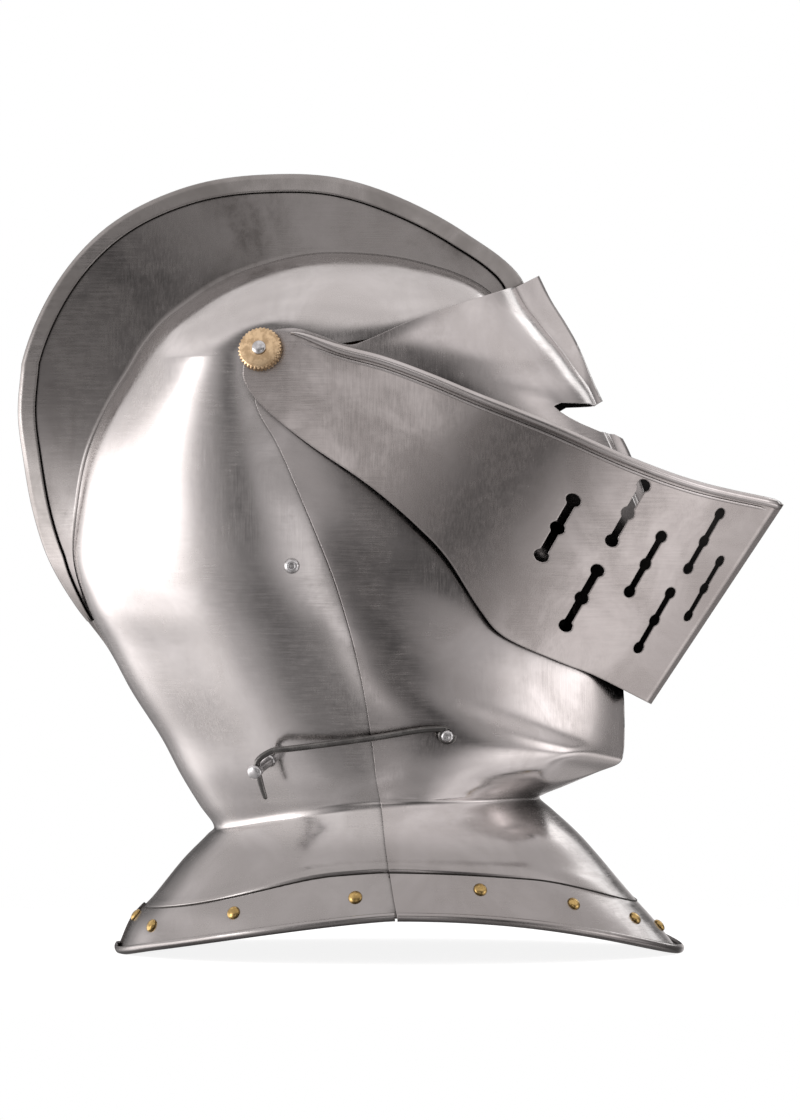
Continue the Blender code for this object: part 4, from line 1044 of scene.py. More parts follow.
def finish_material(nodes, **inputs):
    named = {key.replace("_", " "): value for key, value in inputs.items()}
    shader = nodes.add("BsdfPrincipled", named)
    nodes.add("OutputMaterial", {"Surface": shader.outputs["BSDF"]})


def steel_look(name, light, dark, rough, comb=False, edge=0.0005):
    """Hand-polished steel: low dents, crossing brush marks, cloudy tone and rounded edges, with painted shade
    in hollows, on the collar and on the comb's flanks.
    """
    made, n = new_material(name)
    place = n.place()
    cloud = n.ramp(n.noise(place, 26.0, 4.0, 0.6, 0.6), 0.32, 0.72)
    fine = n.noise(place, 260.0, 5.0, 0.65)
    upright = n.noise(n.scaled(place, (1500.0, 1500.0, 60.0)), 1.0, 3.0, 0.6)
    level = n.noise(n.scaled(place, (60.0, 70.0, 1700.0), (0.25, 0.0, 0.0)), 1.0, 3.0, 0.6)
    patch = n.ramp(n.noise(place, 15.0, 2.0, 0.5), 0.40, 0.60)
    streaks = n.sum(n.product(upright, patch), n.product(level, n.math("SUBTRACT", 1.0, patch)))
    color = n.mix(cloud, dark, light)
    roughness = n.sum(
        n.ramp(cloud, 0.0, 1.0, rough + 0.07, rough - 0.03), n.ramp(streaks, 0.3, 0.7, -0.04, 0.05),
        n.ramp(fine, 0.35, 0.65, -0.015, 0.02),
    )
    x, _, height = n.axes(place)
    if comb:
        # painted shade: darker colour on the comb's flanks, standing in for the dark reflections there,
        # varied by random stains
        flank_shade = n.ramp(n.math("ABSOLUTE", x), *COMB_SHADE_FADE, 1.0, 0.0)
        stain_and_shade = n.ramp(n.noise(n.scaled(place, (10.0, 19.0, 13.0)), 1.0, 4.0, 0.55, 0.4), 0.46, 0.72)
        grime_and_shade = n.ramp(fine, 0.40, 0.62)
        depth = n.sum(0.74, n.product(stain_and_shade, n.sum(0.16, n.product(grime_and_shade, 0.10))))
        color = n.mix(n.product(flank_shade, depth), color, rgb(0.13, 0.12, 0.115))
        roughness = n.sum(roughness, n.product(flank_shade, 0.03))
    # painted shade: darker colour low on the collar, standing in for its dark reflections
    color = n.mix(n.ramp(height, *COLLAR_SHADE_FADE, 0.0, 0.46), color, rgb(0.12, 0.11, 0.105))
    # painted shade: broad darkening in hollows and between plates, as under the ventail's edge and behind its
    # slots
    color = n.mix(n.ramp(n.hollow(0.045), 0.75, 0.25, 0.0, 0.85), color, rgb(0.03, 0.028, 0.026))
    # painted shade in narrow crevices, seams and under rolled edges, together with dirt in the joints
    color = n.mix(n.ramp(n.hollow(0.005), 0.72, 0.30, 0.0, 0.9), color, rgb(0.035, 0.03, 0.027))
    dents = n.noise(place, 17.0, 2.0, 0.45)
    ripples = n.noise(place, 62.0, 2.0, 0.5)
    normal = n.bump(dents, 0.0005, 0.5, n.rounded(edge))
    normal = n.bump(ripples, 0.00010, 0.3, normal)
    normal = n.bump(streaks, 0.000006, 0.25, normal)
    finish_material(n, Base_Color=color, Metallic=1.0, Roughness=roughness, Normal=normal)
    return made


def blackened_shade_look(name, light, dark):
    """The plates' inside: blackened, with hammer marks; its near-black also paints the shade inside the
    helmet, seen through slots and gaps.
    """
    made, n = new_material(name)
    place = n.place()
    cloud = n.ramp(n.noise(place, 60.0, 5.0, 0.65), 0.3, 0.7)
    inputs = {"Vector": place, "Scale": 95.0, "Smoothness": 0.6}
    blows = n.add("TexVoronoi", inputs, feature="SMOOTH_F1").outputs["Distance"]
    finish_material(
        n, Base_Color=n.mix(cloud, dark, light), Roughness=n.ramp(cloud, 0.0, 1.0, 0.75, 0.55),
        Specular_IOR_Level=0.2, Normal=n.bump(blows, 0.0006, 0.4),
    )
    return made


def metal_look(name, light, dark, rough, scale=320.0):
    """Small turned or forged pieces: lighter where open, darker in the hollows, with a cloudy tone."""
    made, n = new_material(name)
    place = n.place()
    cloud = n.ramp(n.noise(place, scale, 4.0, 0.6), 0.34, 0.68)
    fine = n.noise(place, scale * 6.0, 3.0, 0.6)
    open_share = n.ramp(n.hollow(0.0016, 6, only_local=True), 0.35, 0.9)
    open_and_cloudy = n.product(open_share, n.ramp(cloud, 0.0, 1.0, 0.55, 1.0))
    roughness = n.sum(n.ramp(open_and_cloudy, 0.0, 1.0, rough + 0.2, rough), n.ramp(fine, 0.3, 0.7, -0.03, 0.04))
    normal = n.bump(fine, 0.00003, 0.5, n.rounded(0.0003))
    finish_material(n, Base_Color=n.mix(open_and_cloudy, dark, light), Metallic=1.0, Roughness=roughness, Normal=normal)
    return made


def leather_look(name, light, dark):
    """Grained leather: cells for the grain, creases, darker hollows and a slight wax sheen."""
    made, n = new_material(name)
    place = n.place()
    inputs = {"Vector": place, "Scale": 900.0}
    cells = n.add("TexVoronoi", inputs, feature="DISTANCE_TO_EDGE").outputs["Distance"]
    grain = n.ramp(cells, 0.0, 0.16)
    cloud = n.ramp(n.noise(place, 40.0, 4.0, 0.6), 0.3, 0.7)
    creases = n.ramp(n.noise(n.scaled(place, (120.0, 50.0, 260.0)), 1.0, 5.0, 0.7, 1.2), 0.45, 0.56)
    tone = n.product(n.ramp(grain, 0.0, 1.0, 0.45, 1.0), n.ramp(cloud, 0.0, 1.0, 0.35, 1.0))
    normal = n.bump(creases, 0.0002, 0.3, n.bump(grain, 0.00012, 0.6))
    finish_material(
        n, Base_Color=n.mix(tone, dark, light), Roughness=n.ramp(cloud, 0.0, 1.0, 0.62, 0.46), Normal=normal,
    )
    return made


def thread_look(name, tone):
    made, n = new_material(name)
    inputs = {"Vector": n.place(), "Scale": 900.0, "Distortion": 1.5, "Detail": 2.0}
    twist = n.add("TexWave", inputs).outputs["Fac"]
    color = n.mix(twist, rgb(*(c * 0.6 for c in tone)), rgb(*tone))
    finish_material(n, Base_Color=color, Roughness=0.8, Normal=n.bump(twist, 0.0001, 0.5))
    return made


# ---------------------------------------------------------------- the helmet
SKULL_STEEL = steel_look("skull_steel", rgb(0.70, 0.675, 0.67), rgb(0.60, 0.575, 0.565), 0.17, comb=True)
FACE_STEEL = steel_look("face_steel", rgb(0.66, 0.63, 0.625), rgb(0.55, 0.52, 0.51), 0.17)
VENTAIL_STEEL = steel_look("ventail_steel", rgb(0.50, 0.47, 0.46), rgb(0.41, 0.38, 0.37), 0.20, edge=0.0011)
BINDING_STEEL = steel_look("binding_steel", rgb(0.40, 0.38, 0.37), rgb(0.27, 0.255, 0.245), 0.28, edge=0.0007)
INNER_BLACK_SHADE = blackened_shade_look("inner_black_shade", rgb(0.020, 0.019, 0.018), rgb(0.008, 0.008, 0.008))
# painted shade: near-black steel for the line along the border's step
SHADE_LINE_STEEL = metal_look("shade_line_steel", rgb(0.05, 0.046, 0.043), rgb(0.02, 0.018, 0.017), 0.45)
BRIGHT_STEEL = metal_look("bright_steel", rgb(0.72, 0.72, 0.73), rgb(0.26, 0.25, 0.25), 0.22)
BLACK_STEEL = metal_look("hook_steel", rgb(0.20, 0.195, 0.19), rgb(0.04, 0.038, 0.036), 0.24, 140.0)
NUT_BRASS = metal_look("nut_brass", rgb(0.86, 0.64, 0.40), rgb(0.22, 0.12, 0.05), 0.30)
RIVET_BRASS = metal_look("rivet_brass", rgb(0.66, 0.46, 0.18), rgb(0.14, 0.085, 0.03), 0.20)
LEATHER = leather_look("liner_leather", rgb(0.30, 0.155, 0.075), rgb(0.11, 0.05, 0.022))
STRAP_LEATHER = leather_look("strap_leather", rgb(0.21, 0.10, 0.045), rgb(0.07, 0.032, 0.014))
THREAD = thread_look("waxed_thread", (0.62, 0.52, 0.36))


def add_rivet(name, place, body, cuts, size=BRASS_RIVET, reach=SHEET):
    """A rivet at a point of a plate, and its hole among the plate's cutters."""
    (hit, normal), (head, height, shank) = place, size
    cuts.append(turned_cutter(hit, normal, shank + GAP, 5.0, 24))
    back = -reach - 2 * GAP - 0.9
    profile = [
        (0.0, back), (shank * 1.5, back + 0.1), (shank * 1.7, back + 0.4), (shank * 1.7, -reach - GAP),
        (shank, -reach - GAP + 0.02), (shank, -0.02),
    ]
    if size is BRASS_RIVET:
        look, slot = RIVET_BRASS, "brass"
        profile += dome_profile(head, height, -0.02)
    else:
        look, slot = BRIGHT_STEEL, "rivet_steel"
        profile += [
            (head, -0.02), (head, 0.5), (head * 0.93, 1.1), (head * 0.72, height),
            (head * 0.46, height + 0.25), (head * 0.38, height + 0.12), (head * 0.3, height * 0.62),
            (0.0, height * 0.5),
        ]
    turned_piece(name, profile, hit, normal, look, body, slot, name.replace("_head", ""))


def knurled_ring(low, high, radius, bore):
    """Closed points and faces of the nut: slanted teeth round its edge, a chamfer and a bored centre."""
    sides = NUT_TEETH * 8
    stations = (
        (low, radius - 0.9, 0.0), (low + 0.3, radius - 0.35, 0.35), (low + 0.7, radius, 0.9),
        (high - 1.3, radius, 0.9), (high - 0.9, radius - 0.12, 0.8), (high - 0.45, radius - 0.6, 0.35),
        (high - 0.15, radius - 1.1, 0.0), (high, radius - 1.5, 0.0), (high, bore, 0.0),
    )
    rings = []
    for z, outer, depth in stations:
        ring = []
        slant = (z - low) / (high - low) * 2 * math.pi / NUT_TEETH * 0.9
        for k in range(sides):
            a = 2 * math.pi * k / sides
            wave = 0.5 + 0.5 * math.cos((a - slant) * NUT_TEETH)
            r = outer - depth * (1.0 - wave ** 0.6)
            ring.append((r * math.cos(a), r * math.sin(a), z))
        rings.append(ring)
    return loft(rings + [circle(bore, low, sides)])


def washer_ring(low, high, radius, bore):
    edge = ((bore, low), (radius - 0.2, low), (radius, low + 0.3), (radius, high - 0.3), (radius - 0.3, high))
    return loft([circle(r, z, 64) for r, z in edge + ((bore, high),)])


def build_pivots():
    """The studs with their washers and nuts, which lie on the ventail's outermost point."""
    tilt = math.radians(STUD_TILT)
    lean, rise = math.sin(tilt), math.cos(tilt)
    washer_low = (VENTAIL_HALF_WIDTH + 0.3 + (WASHER_RADIUS + 0.1) * lean - STUD_MIDDLE) / rise
    washer_high = washer_low + 1.0
    nut_low = max(washer_high + GAP, (VENTAIL_HALF_WIDTH + 0.35 + NUT_RADIUS * lean - STUD_MIDDLE) / rise)
    nut_high = nut_low + NUT_HEIGHT
    bore = STUD_RADIUS + GAP
    foot = STUD_RADIUS + 2.6
    back = -(STUD_MIDDLE - SKULL_HALF_WIDTH) / rise - (SHEET / rise + foot * math.tan(tilt) + GAP)
    top = nut_high + GAP
    profile = [
        (0.0, back - 2.0), (3.6, back - 1.6), (foot, back), (STUD_RADIUS, back), (STUD_RADIUS, top - 0.1),
        (3.1, top - 0.05), (3.4, top + 0.15), (3.38, top + 0.5), (3.1, top + 0.85), (2.4, top + 1.2),
        (1.2, top + 1.42), (0.0, top + 1.5),
    ]
    rings = (
        ("washer", washer_ring(washer_low, washer_high, WASHER_RADIUS, bore), BRIGHT_STEEL, "rivet_steel"),
        ("nut", knurled_ring(nut_low, nut_high, NUT_RADIUS, bore), NUT_BRASS, "brass"),
    )
    for side, word in SIDES:
        at = (side * STUD_MIDDLE, PIVOT_Y, PIVOT_Z), stud_direction(side)
        turned_piece(f"stud_{word}", profile, *at, BRIGHT_STEEL, "skull", "rivet_steel", f"pivot_stud_{word}")
        for kind, (points, faces), look, slot in rings:
            solid = placed(points, *at), faces
            nut = f"pivot_nut_{word}"
            solid_piece(f"{kind}_{word}", solid, 30.0, look, nut, slot, f"pivot_{kind}_{word}")


def stud_cut(side):
    centre = (side * STUD_MIDDLE, PIVOT_Y, PIVOT_Z)
    return turned_cutter(centre, stud_direction(side), STUD_RADIUS + GAP, 14.0)


def build_latch(bevor_tree, skull_tree):
    """The hook, the rivet on the bevor that it turns on, and the pierced stud on the skull."""
    pin, _ = side_hit(bevor_tree, *LATCH_RIVET, -1)
    foot, normal = side_hit(skull_tree, *LATCH_STUD, -1)
    axis = Vector(LATCH_AXIS).normalized()
    head = LATCH_LIFT + 2 * ROD_RADIUS + 2 * GAP
    profile = [
        (0.0, -4.2), (2.4, -4.2), (2.4, -3.2), (LATCH_PIN, -3.2), (LATCH_PIN, head), (2.9, head),
        (2.95, head + 0.4), (2.7, head + 0.9), (2.2, head + 1.35), (1.5, head + 1.62), (1.15, head + 1.5),
        (0.8, head + 1.25), (0.0, head + 1.2),
    ]
    turned_piece("hook_rivet", profile, pin, axis, BRIGHT_STEEL, "bevor", "rivet_steel", "latch_rivet")
    level = pin + axis * (LATCH_LIFT + ROD_RADIUS + GAP)
    eye = foot + normal * LATCH_STAND_OFF
    arm = eye - level
    arm -= axis * arm.dot(axis)
    reach = arm.length
    back = arm.normalized()
    up = axis.cross(back).normalized()
    if up.z < 0:
        up = -up
    height = (eye - level).dot(axis)

    def at(along, rise, out):
        return level + back * along + up * rise + axis * out

    top = LATCH_STAND_OFF + 2 * ROD_RADIUS
    profile = [
        (0.0, -3.0), (2.6, -3.0), (2.6, -1.9), (STUD_SHANK, -1.9), (STUD_SHANK, -0.02), (3.0, -0.02),
        (3.05, 0.5), (2.6, 1.0), (2.5, 1.6), (2.45, top - 4.6), (2.9, top - 3.6), (3.0, top - 2.4),
        (3.0, top), (3.55, top + 0.2), (3.6, top + 0.6), (3.4, top + 1.1), (2.8, top + 1.6),
        (1.8, top + 1.92), (0.0, top + 2.0),
    ]
    points, faces = turned_profile(profile, TURN_SIDES)
    hole = turned_cutter(at(reach, 0.0, height), up, ROD_RADIUS + 0.35, 8.0, 28)
    mesh = smooth(cut_mesh(make_mesh("hook_stud", placed(points, foot, normal), faces), [hole]), 40.0)
    add_piece("hook_stud", mesh, BRIGHT_STEEL, "skull", "rivet_steel", "latch_stud")

    loop_radius = LATCH_PIN + GAP + ROD_RADIUS + 0.1
    path = []
    for k in range(49):
        a = math.radians(-150.0 + 240.0 * k / 48)
        path.append(at(loop_radius * math.cos(a), loop_radius * math.sin(a), 0.0))
    bar = [at(along, rise, out + height * share) for along, rise, out, share in HOOK_BAR]
    bar.append(at(reach - 8.0, 8.6, height))
    path += [Vector(p) for p in smooth_path(bar, 16)[1:]]
    for k in range(3, 25):
        a = math.radians(5.6 - 14.5 * k / 24)
        path.append(at(reach * math.cos(a), reach * math.sin(a), height))
    for _ in range(6):
        middle = [(a + b * 2 + c) / 4 for a, b, c in zip(path, path[1:], path[2:])]
        path = [path[0]] + middle + [path[-1]]
    radii = [ROD_RADIUS] * (len(path) - 14) + [ROD_RADIUS * (1.0 - 0.35 * (k / 14) ** 2) for k in range(14)]
    solid_piece("hook_bar", tube(path, radii), 60.0, BLACK_STEEL, "latch_hook", "rivet_steel", "latch_hook")


def build_binding():
    """The strip folded over the comb's crest."""
    stations = [fan_point_pair((len(FAN) - 1) * i / FAN_ROWS) for i in range(6, FAN_ROWS + 1)]
    stations += [body_point_pair(u) for u in body_stations() if 0.0 < u < BINDING_END]
    rings = []
    for (cy, cz, c), (ey, ez, e) in stations:
        down = Vector((0.0, cy - ey, cz - ez))
        slope = (c - e) / down.length
        depth = min(BINDING_DEPTH, down.length * 0.6)
        down.normalize()
        inside = e + GAP + 0.3
        outside = inside + BINDING_SHEET
        half = [(0.0, 0.0)]
        half += [(outside * math.sin(a), 1.3 - 1.3 * math.cos(a)) for a in (0.35, 0.7, 1.05, 1.35)]
        half += [(outside + slope * drop, drop) for drop in (1.6, 2.6, depth - 1.0, depth - 0.35)]
        half += [
            (outside - 0.16 + slope * depth, depth), (inside + slope * depth, depth),
            (inside + slope * 1.7, 1.7), (inside * 0.5, BINDING_SHEET), (0.0, BINDING_SHEET),
        ]
        profile = half + [(-x, drop) for x, drop in reversed(half[1:-1])]
        rings.append([Vector((x, ey, ez)) + down * drop for x, drop in profile])
    solid = loft(rings, closed=False)
    solid_piece("comb_binding", solid, 30.0, BINDING_STEEL, "skull", "polished_steel", "comb_edge_binding")


def build_border():
    """A dark tube along the step of the collar's border: the step's painted shade."""
    middle, seam = (blend(BODY, BORDER_STATION)[k] for k in (0, 13))

    def at(place):
        return place(border_start(place(BORDER_STATION)[1]) + 0.11)

    def before(u, k):
        front = blend(BODY, u)[3]
        return front_point(u, seam + (front - seam) * front_share(k / 60), LAP_CLEARANCE)

    start = min(seam, middle)
    behind = [at(lambda u, k=k: front_point(u, start + (middle - start) * k / 6)) for k in range(6)]
    behind += [at(lambda u, k=k: rear_point(u, k / 60)) for k in range(61)]
    ahead = [at(lambda u, k=k: before(u, k)) for k in range(60)]
    other = [mirrored(point, 1) for point in behind]
    ahead += [mirrored(point, 1) for point in reversed(ahead)]
    for word, path, body in (("right", behind, "skull"), ("left", other, "skull"), ("front", ahead, "bevor")):
        solid = tube(path, [SHADE_LINE_RADIUS] * len(path), 10)
        solid_piece(f"border_shade_line_{word}", solid, 60.0, SHADE_LINE_STEEL, body, "polished_steel")


def build_plates():
    """The five plates and their rivets."""
    bevor = bevor_sheet()
    bevor_tree = tree_of(bevor)
    floor = prism_cutter([(-200.0, -20.0), (200.0, -20.0), (200.0, 0.0), (-200.0, 0.0)])
    hole = turned_cutter((0, PIVOT_Y, PIVOT_Z), (1, 0, 0), PIVOT_HOLE, CUT_REACH)
    bevor_cuts = [floor, hole]
    trees = []
    for side, word in SIDES:
        sheet = skull_sheet(side)
        tree = tree_of(sheet)
        trees.append(tree)
        cuts = [floor, stud_cut(side)]
        for number, (y, z) in enumerate(REAR_RIVETS, 1):
            add_rivet(f"rear_rivet_head_{word}_{number}", side_hit(tree, y, z, side), "skull", cuts)
        place = surface_hit(tree, (side * REAR_CENTRE_RIVET_X, 250.0, 17.5), (0.0, -1.0, 0.0))
        add_rivet(f"rear_rivet_head_{word}_4", place, "skull", cuts)
        for number, (y, z) in enumerate(FRONT_RIVETS, 1):
            place = side_hit(bevor_tree, y, z, side)
            add_rivet(f"front_rivet_head_{word}_{number}", place, "bevor", bevor_cuts)
        place = side_hit(tree, *STRAP_RIVET, side)
        add_rivet(f"strap_rivet_head_{word}", place, "skull", cuts, DIMPLED_RIVET)
        if side < 0:
            cuts.append(turned_cutter(*side_hit(tree, *LATCH_STUD, side), STUD_SHANK + GAP, 5.0, 24))
        add_plate(f"skull_plate_{word}", sheet, SKULL_STEEL, "skull", f"skull_{word}_half", cuts, True)
    place = surface_hit(bevor_tree, (0.0, -250.0, 12.8), (0.0, 1.0, 0.0))
    add_rivet("front_rivet_head_centre", place, "bevor", bevor_cuts, reach=SHEET + 0.3)
    pin, _ = side_hit(bevor_tree, *LATCH_RIVET, -1)
    bevor_cuts.append(turned_cutter(pin, LATCH_AXIS, LATCH_PIN + GAP, 5.0, 24))
    add_plate("bevor_plate", bevor, FACE_STEEL, "bevor", "bevor_shell", bevor_cuts)
    add_plate("visor_plate", visor_sheet(), FACE_STEEL, "visor", "visor_shell", [hole, prism_cutter(SIGHT)])
    sheet, (rim, band) = ventail_sheet()
    cuts = [hole] + [prism_cutter(dumbbell(*slot), high=0.0) for slot in SLOTS]
    add_plate("ventail_plate", sheet, VENTAIL_STEEL, "ventail", "ventail_shell", cuts)
    grow = [min(1.0, 0.25 + 0.75 * min(k, len(rim) - 1 - k) / 14) for k in range(len(rim))]
    for name, path, radius, sides in (("roll", rim, RIM_RADIUS, 24), ("band", band, RIM_BAND_RADIUS, 16)):
        solid = tube(path, [radius * g for g in grow], sides)
        solid_piece(f"ventail_rim_{name}", solid, 60.0, FACE_STEEL, "ventail", "polished_steel")
    return bevor_tree, trees[0]


# ---------------------------------------------------------------- leather
LINER_SIDES = 160
LINER_TILT = 0.2
# Head band: height, half width, and share of the quilting's depth, round its section.
BAND_PROFILE = (
    (262.0, 75.4, 0.0), (262.9, 75.8, 0.0), (266.0, 76.0, 0.5), (271.0, 76.0, 1.0), (277.0, 76.0, 1.0),
    (283.0, 76.0, 1.0), (288.0, 76.0, 0.5), (291.2, 75.8, 0.0), (292.0, 75.2, 0.0), (292.0, 74.0, 0.0),
    (291.0, 73.5, 0.0), (288.0, 73.4, 0.56), (277.0, 73.4, 0.56), (266.0, 73.4, 0.56), (263.0, 73.5, 0.0),
    (262.0, 74.0, 0.0),
)
# A stitch: shares of its half length along the seam and of its lift.
STITCH = ((-1.0, -1.0), (-0.6, 0.6), (0.0, 1.0), (0.6, 0.6), (1.0, -1.0))
ACROSS = Vector((0.0, 1.0, 0.0))        # the straps' width runs from front to back
# Section of a strap, in half widths and half thicknesses.
STRAP_SIDE = (
    (-1.0, -0.4), (-0.94, -0.9), (-0.8, -1.0), (-0.4, -1.0), (0.0, -1.0), (0.4, -1.0), (0.8, -1.0),
    (0.94, -0.9), (1.0, -0.4),
)
STRAP_SECTION = STRAP_SIDE + tuple((-a, -b) for a, b in STRAP_SIDE)
TONGUE = ((-1.6, 7.6), (-2.4, 4.0), (-2.4, -3.0), (-1.6, -7.6))      # x, z of the buckle's tongue
BUCKLE_WIRE = 1.2
BUCKLE_CORNER = 2.0


def oval(width, front, back, height, tilt, swell=0.0, sides=LINER_SIDES):
    """A closed oval round the head, rising towards the front; swell pushes it outwards point by point."""
    ring = []
    middle, half = (front + back) / 2, (back - front) / 2
    for k in range(sides):
        a = 2 * math.pi * k / sides
        out = swell(k) if callable(swell) else swell
        y = middle + (half + out) * math.cos(a)
        ring.append(((width + out) * math.sin(a), y, height - (y - middle) * tilt))
    return ring


def band_ring(height, width, swell=0.0, sides=LINER_SIDES):
    return oval(width, 46.0 - width, 44.0 + width, height, LINER_TILT, swell, sides)


def stitches(name, places, length=2.6, radius=0.32):
    """Short thread stitches; places holds the centre, the direction along the seam and the way out."""
    solids = []
    for centre, along, out in places:
        half = Vector(along).normalized() * length / 2
        lift = Vector(out).normalized() * radius * 0.8
        path = [centre + half * share + lift * rise for share, rise in STITCH]
        solids.append(tube(path, [radius] * len(path), 6, rounded=False))
    solid_piece(name, merged(solids), 70.0, THREAD, "skull", "leather")


def build_liner():
    """Quilted leather band and crown cap with stitched seams."""
    def quilt(k):
        return 0.55 * abs(math.sin(math.pi * k / 10)) ** 0.5 - 0.55

    def gore(k):
        return -1.04 * math.exp(-(((k + 10) % 20 - 10) / 1.6) ** 2)

    rings = [band_ring(z, width, lambda k, s=share: quilt(k) * s) for z, width, share in BAND_PROFILE]
    band = solid_piece("leather_band", loft(rings), 50.0, LEATHER, "skull", "leather", "liner_band")
    seams = []
    for z in (264.2, 289.6):
        for width, sign in ((76.15, 1.0), (73.25, -1.0)):
            ring = [Vector(p) for p in band_ring(z, width, sides=132)]
            for a, b in zip(ring, ring[1:] + ring[:1]):
                middle = (a + b) / 2
                seams.append((middle, b - a, (middle - Vector((0, 45, z))) * Vector((sign, sign, 0))))
    stitches("band_stitches", seams)

    outer, inner = [], []
    for i in range(29):
        a = math.radians(8.0 + 62.0 * i / 28)
        for rings, shrink, swell in ((outer, 0.0, gore), (inner, 2.2, 0.0)):
            half_y = 73.0 * math.cos(a) - shrink
            rings.append(oval(
                (74.0 - shrink) * math.cos(a), 45.0 - half_y, 45.0 + half_y,
                292.5 + GAP + (33.0 - shrink) * math.sin(a) - 4.0, LINER_TILT * math.cos(a), swell,
            ))
    solid = loft(outer + inner[::-1])
    crown = solid_piece("leather_crown", solid, 50.0, LEATHER, "skull", "leather", "liner_crown")
    seams = []
    for k in range(0, LINER_SIDES, 20):
        for offset in (-2, 2):
            line = [Vector(ring[(k + offset) % LINER_SIDES]) for ring in inner]
            for a, b in zip(line[1:-1], line[2:]):
                middle = (a + b) / 2
                seams.append((middle, b - a, Vector((0, 45, 292)) - middle))
    stitches("crown_stitches", seams, 1.9, 0.28)


def strap_solid(path, width, thickness):
    """A strap across Y with rounded edges and a pointed end, along a path."""
    rings = []
    last = len(path) - 1
    for i, place in enumerate(path):
        ahead = Vector(path[min(i + 1, last)]) - Vector(path[max(i - 1, 0)])
        out = ACROSS.cross(ahead).normalized()
        half = width / 2 * math.sin(math.pi / 2 * min(1.0, 0.25 + (last - i) / last * 9.0))
        rings.append([Vector(place) + ACROSS * a * half + out * b * thickness / 2 for a, b in STRAP_SECTION])
    return loft(rings, closed=False)


def build_straps():
    """The chin strap's two pieces; the left one is the longer and has the holes."""
    y, z = STRAP_RIVET
    for side, word, length in ((-1, "right", 88.0), (1, "left", 128.0)):
        stops = [
            (side * 85.2, y, z + 8.0), (side * 85.0, y, z - 6.0), (side * 79.0, y - 1.0, z - 30.0),
            (side * 68.0, y - 3.0, z - 60.0), (side * 57.0, y - 5.0, z - length),
        ]
        path = [Vector(p) for p in smooth_path(stops, 18)]
        name = f"leather_strap_{word}"
        mesh = smooth_mesh(name, *strap_solid(path, 17.0, 2.2), 50.0)
        if side > 0:
            holes = []
            for i in (44, 50, 56, 62):
                out = ACROSS.cross(path[i + 1] - path[i - 1])
                holes.append(turned_cutter(path[i], out, 1.7, 4.0, 20))
            mesh = smooth(cut_mesh(mesh, holes), 50.0)
        add_piece(name, mesh, STRAP_LEATHER, "skull", "leather", f"chin_strap_{word}")
        seams = []
        for edge in (-6.6, 6.6):
            for i in range(3, 64, 2):
                a, b = path[i], path[i + 1]
                out = ACROSS.cross(b - a).normalized()
                for face in (-1.0, 1.0):
                    seams.append(((a + b) / 2 + ACROSS * edge + out * face * 1.1, b - a, out * face))
        stitches(f"strap_stitches_{word}", seams, 1.7, 0.26)


def build_buckle():
    """The buckle at the end of the right strap: a frame of round wire, and its tongue."""
    y, z = STRAP_RIVET
    centre = Vector((-56.2, y - 5.3, z - 97.0))
    frame_path = []
    for a, b, turn in ((-8.7, -4.7, 180.0), (8.7, -4.7, 270.0), (8.7, 4.7, 0.0), (-8.7, 4.7, 90.0)):
        for k in range(7):
            angle = math.radians(turn + 90.0 * k / 6)
            corner = Vector((0.0, a + BUCKLE_CORNER * math.cos(angle), b + BUCKLE_CORNER * math.sin(angle)))
            frame_path.append(centre + corner)
    rings = []
    side = Vector((1.0, 0.0, 0.0))
    for i, place in enumerate(frame_path):
        over = (frame_path[(i + 1) % len(frame_path)] - frame_path[i - 1]).normalized().cross(side)
        angles = [k * math.pi / 6 for k in range(12)]
        rings.append([place + (side * math.cos(a) + over * math.sin(a)) * BUCKLE_WIRE for a in angles])
    solid_piece("strap_buckle", loft(rings), 60.0, RIVET_BRASS, "skull", "brass", "chin_strap_buckle")
    path = smooth_path([centre + Vector((x, 0.0, up)) for x, up in TONGUE], 8)
    solid_piece("strap_buckle_tongue", tube(path, [0.9] * len(path), 14), 60.0, RIVET_BRASS, "skull", "brass")


# ---------------------------------------------------------------- camera, light and floor
CAMERA_AZIMUTH = math.radians(273.0)
CAMERA_DISTANCE = 2.8
CAMERA_LENS = 184.8
SIDE_VIEW = Vector((math.sin(CAMERA_AZIMUTH), -math.cos(CAMERA_AZIMUTH), 0.0))
MIDDLE = Vector((0.0, 0.0, 0.1904))     # the point in the middle of the picture
SOFTBOX_DISTANCE = 1.9
FLOOR_REACH = 3.0


def build_camera():
    data = bpy.data.cameras.new("camera")
    data.lens = CAMERA_LENS
    data.sensor_width = 36.0
    data.sensor_fit = "AUTO"
    camera = bpy.data.objects.new("camera", data)
    camera.location = MIDDLE + SIDE_VIEW * CAMERA_DISTANCE
    camera.rotation_euler = (-SIDE_VIEW).to_track_quat("-Z", "Y").to_euler()
    bpy.context.scene.collection.objects.link(camera)
    bpy.context.scene.camera = camera


def softbox(name, direction, height):
    data = bpy.data.lights.new(name, "AREA")
    data.shape = "RECTANGLE"
    data.size = 0.5
    data.size_y = height
    data.energy = 2.0
    light = bpy.data.objects.new(name, data)
    toward = Vector(direction).normalized()
    light.location = MIDDLE + toward * SOFTBOX_DISTANCE
    light.rotation_euler = (-toward).to_track_quat("-Z", "Y").to_euler()
    light.visible_camera = False
    bpy.context.scene.collection.objects.link(light)


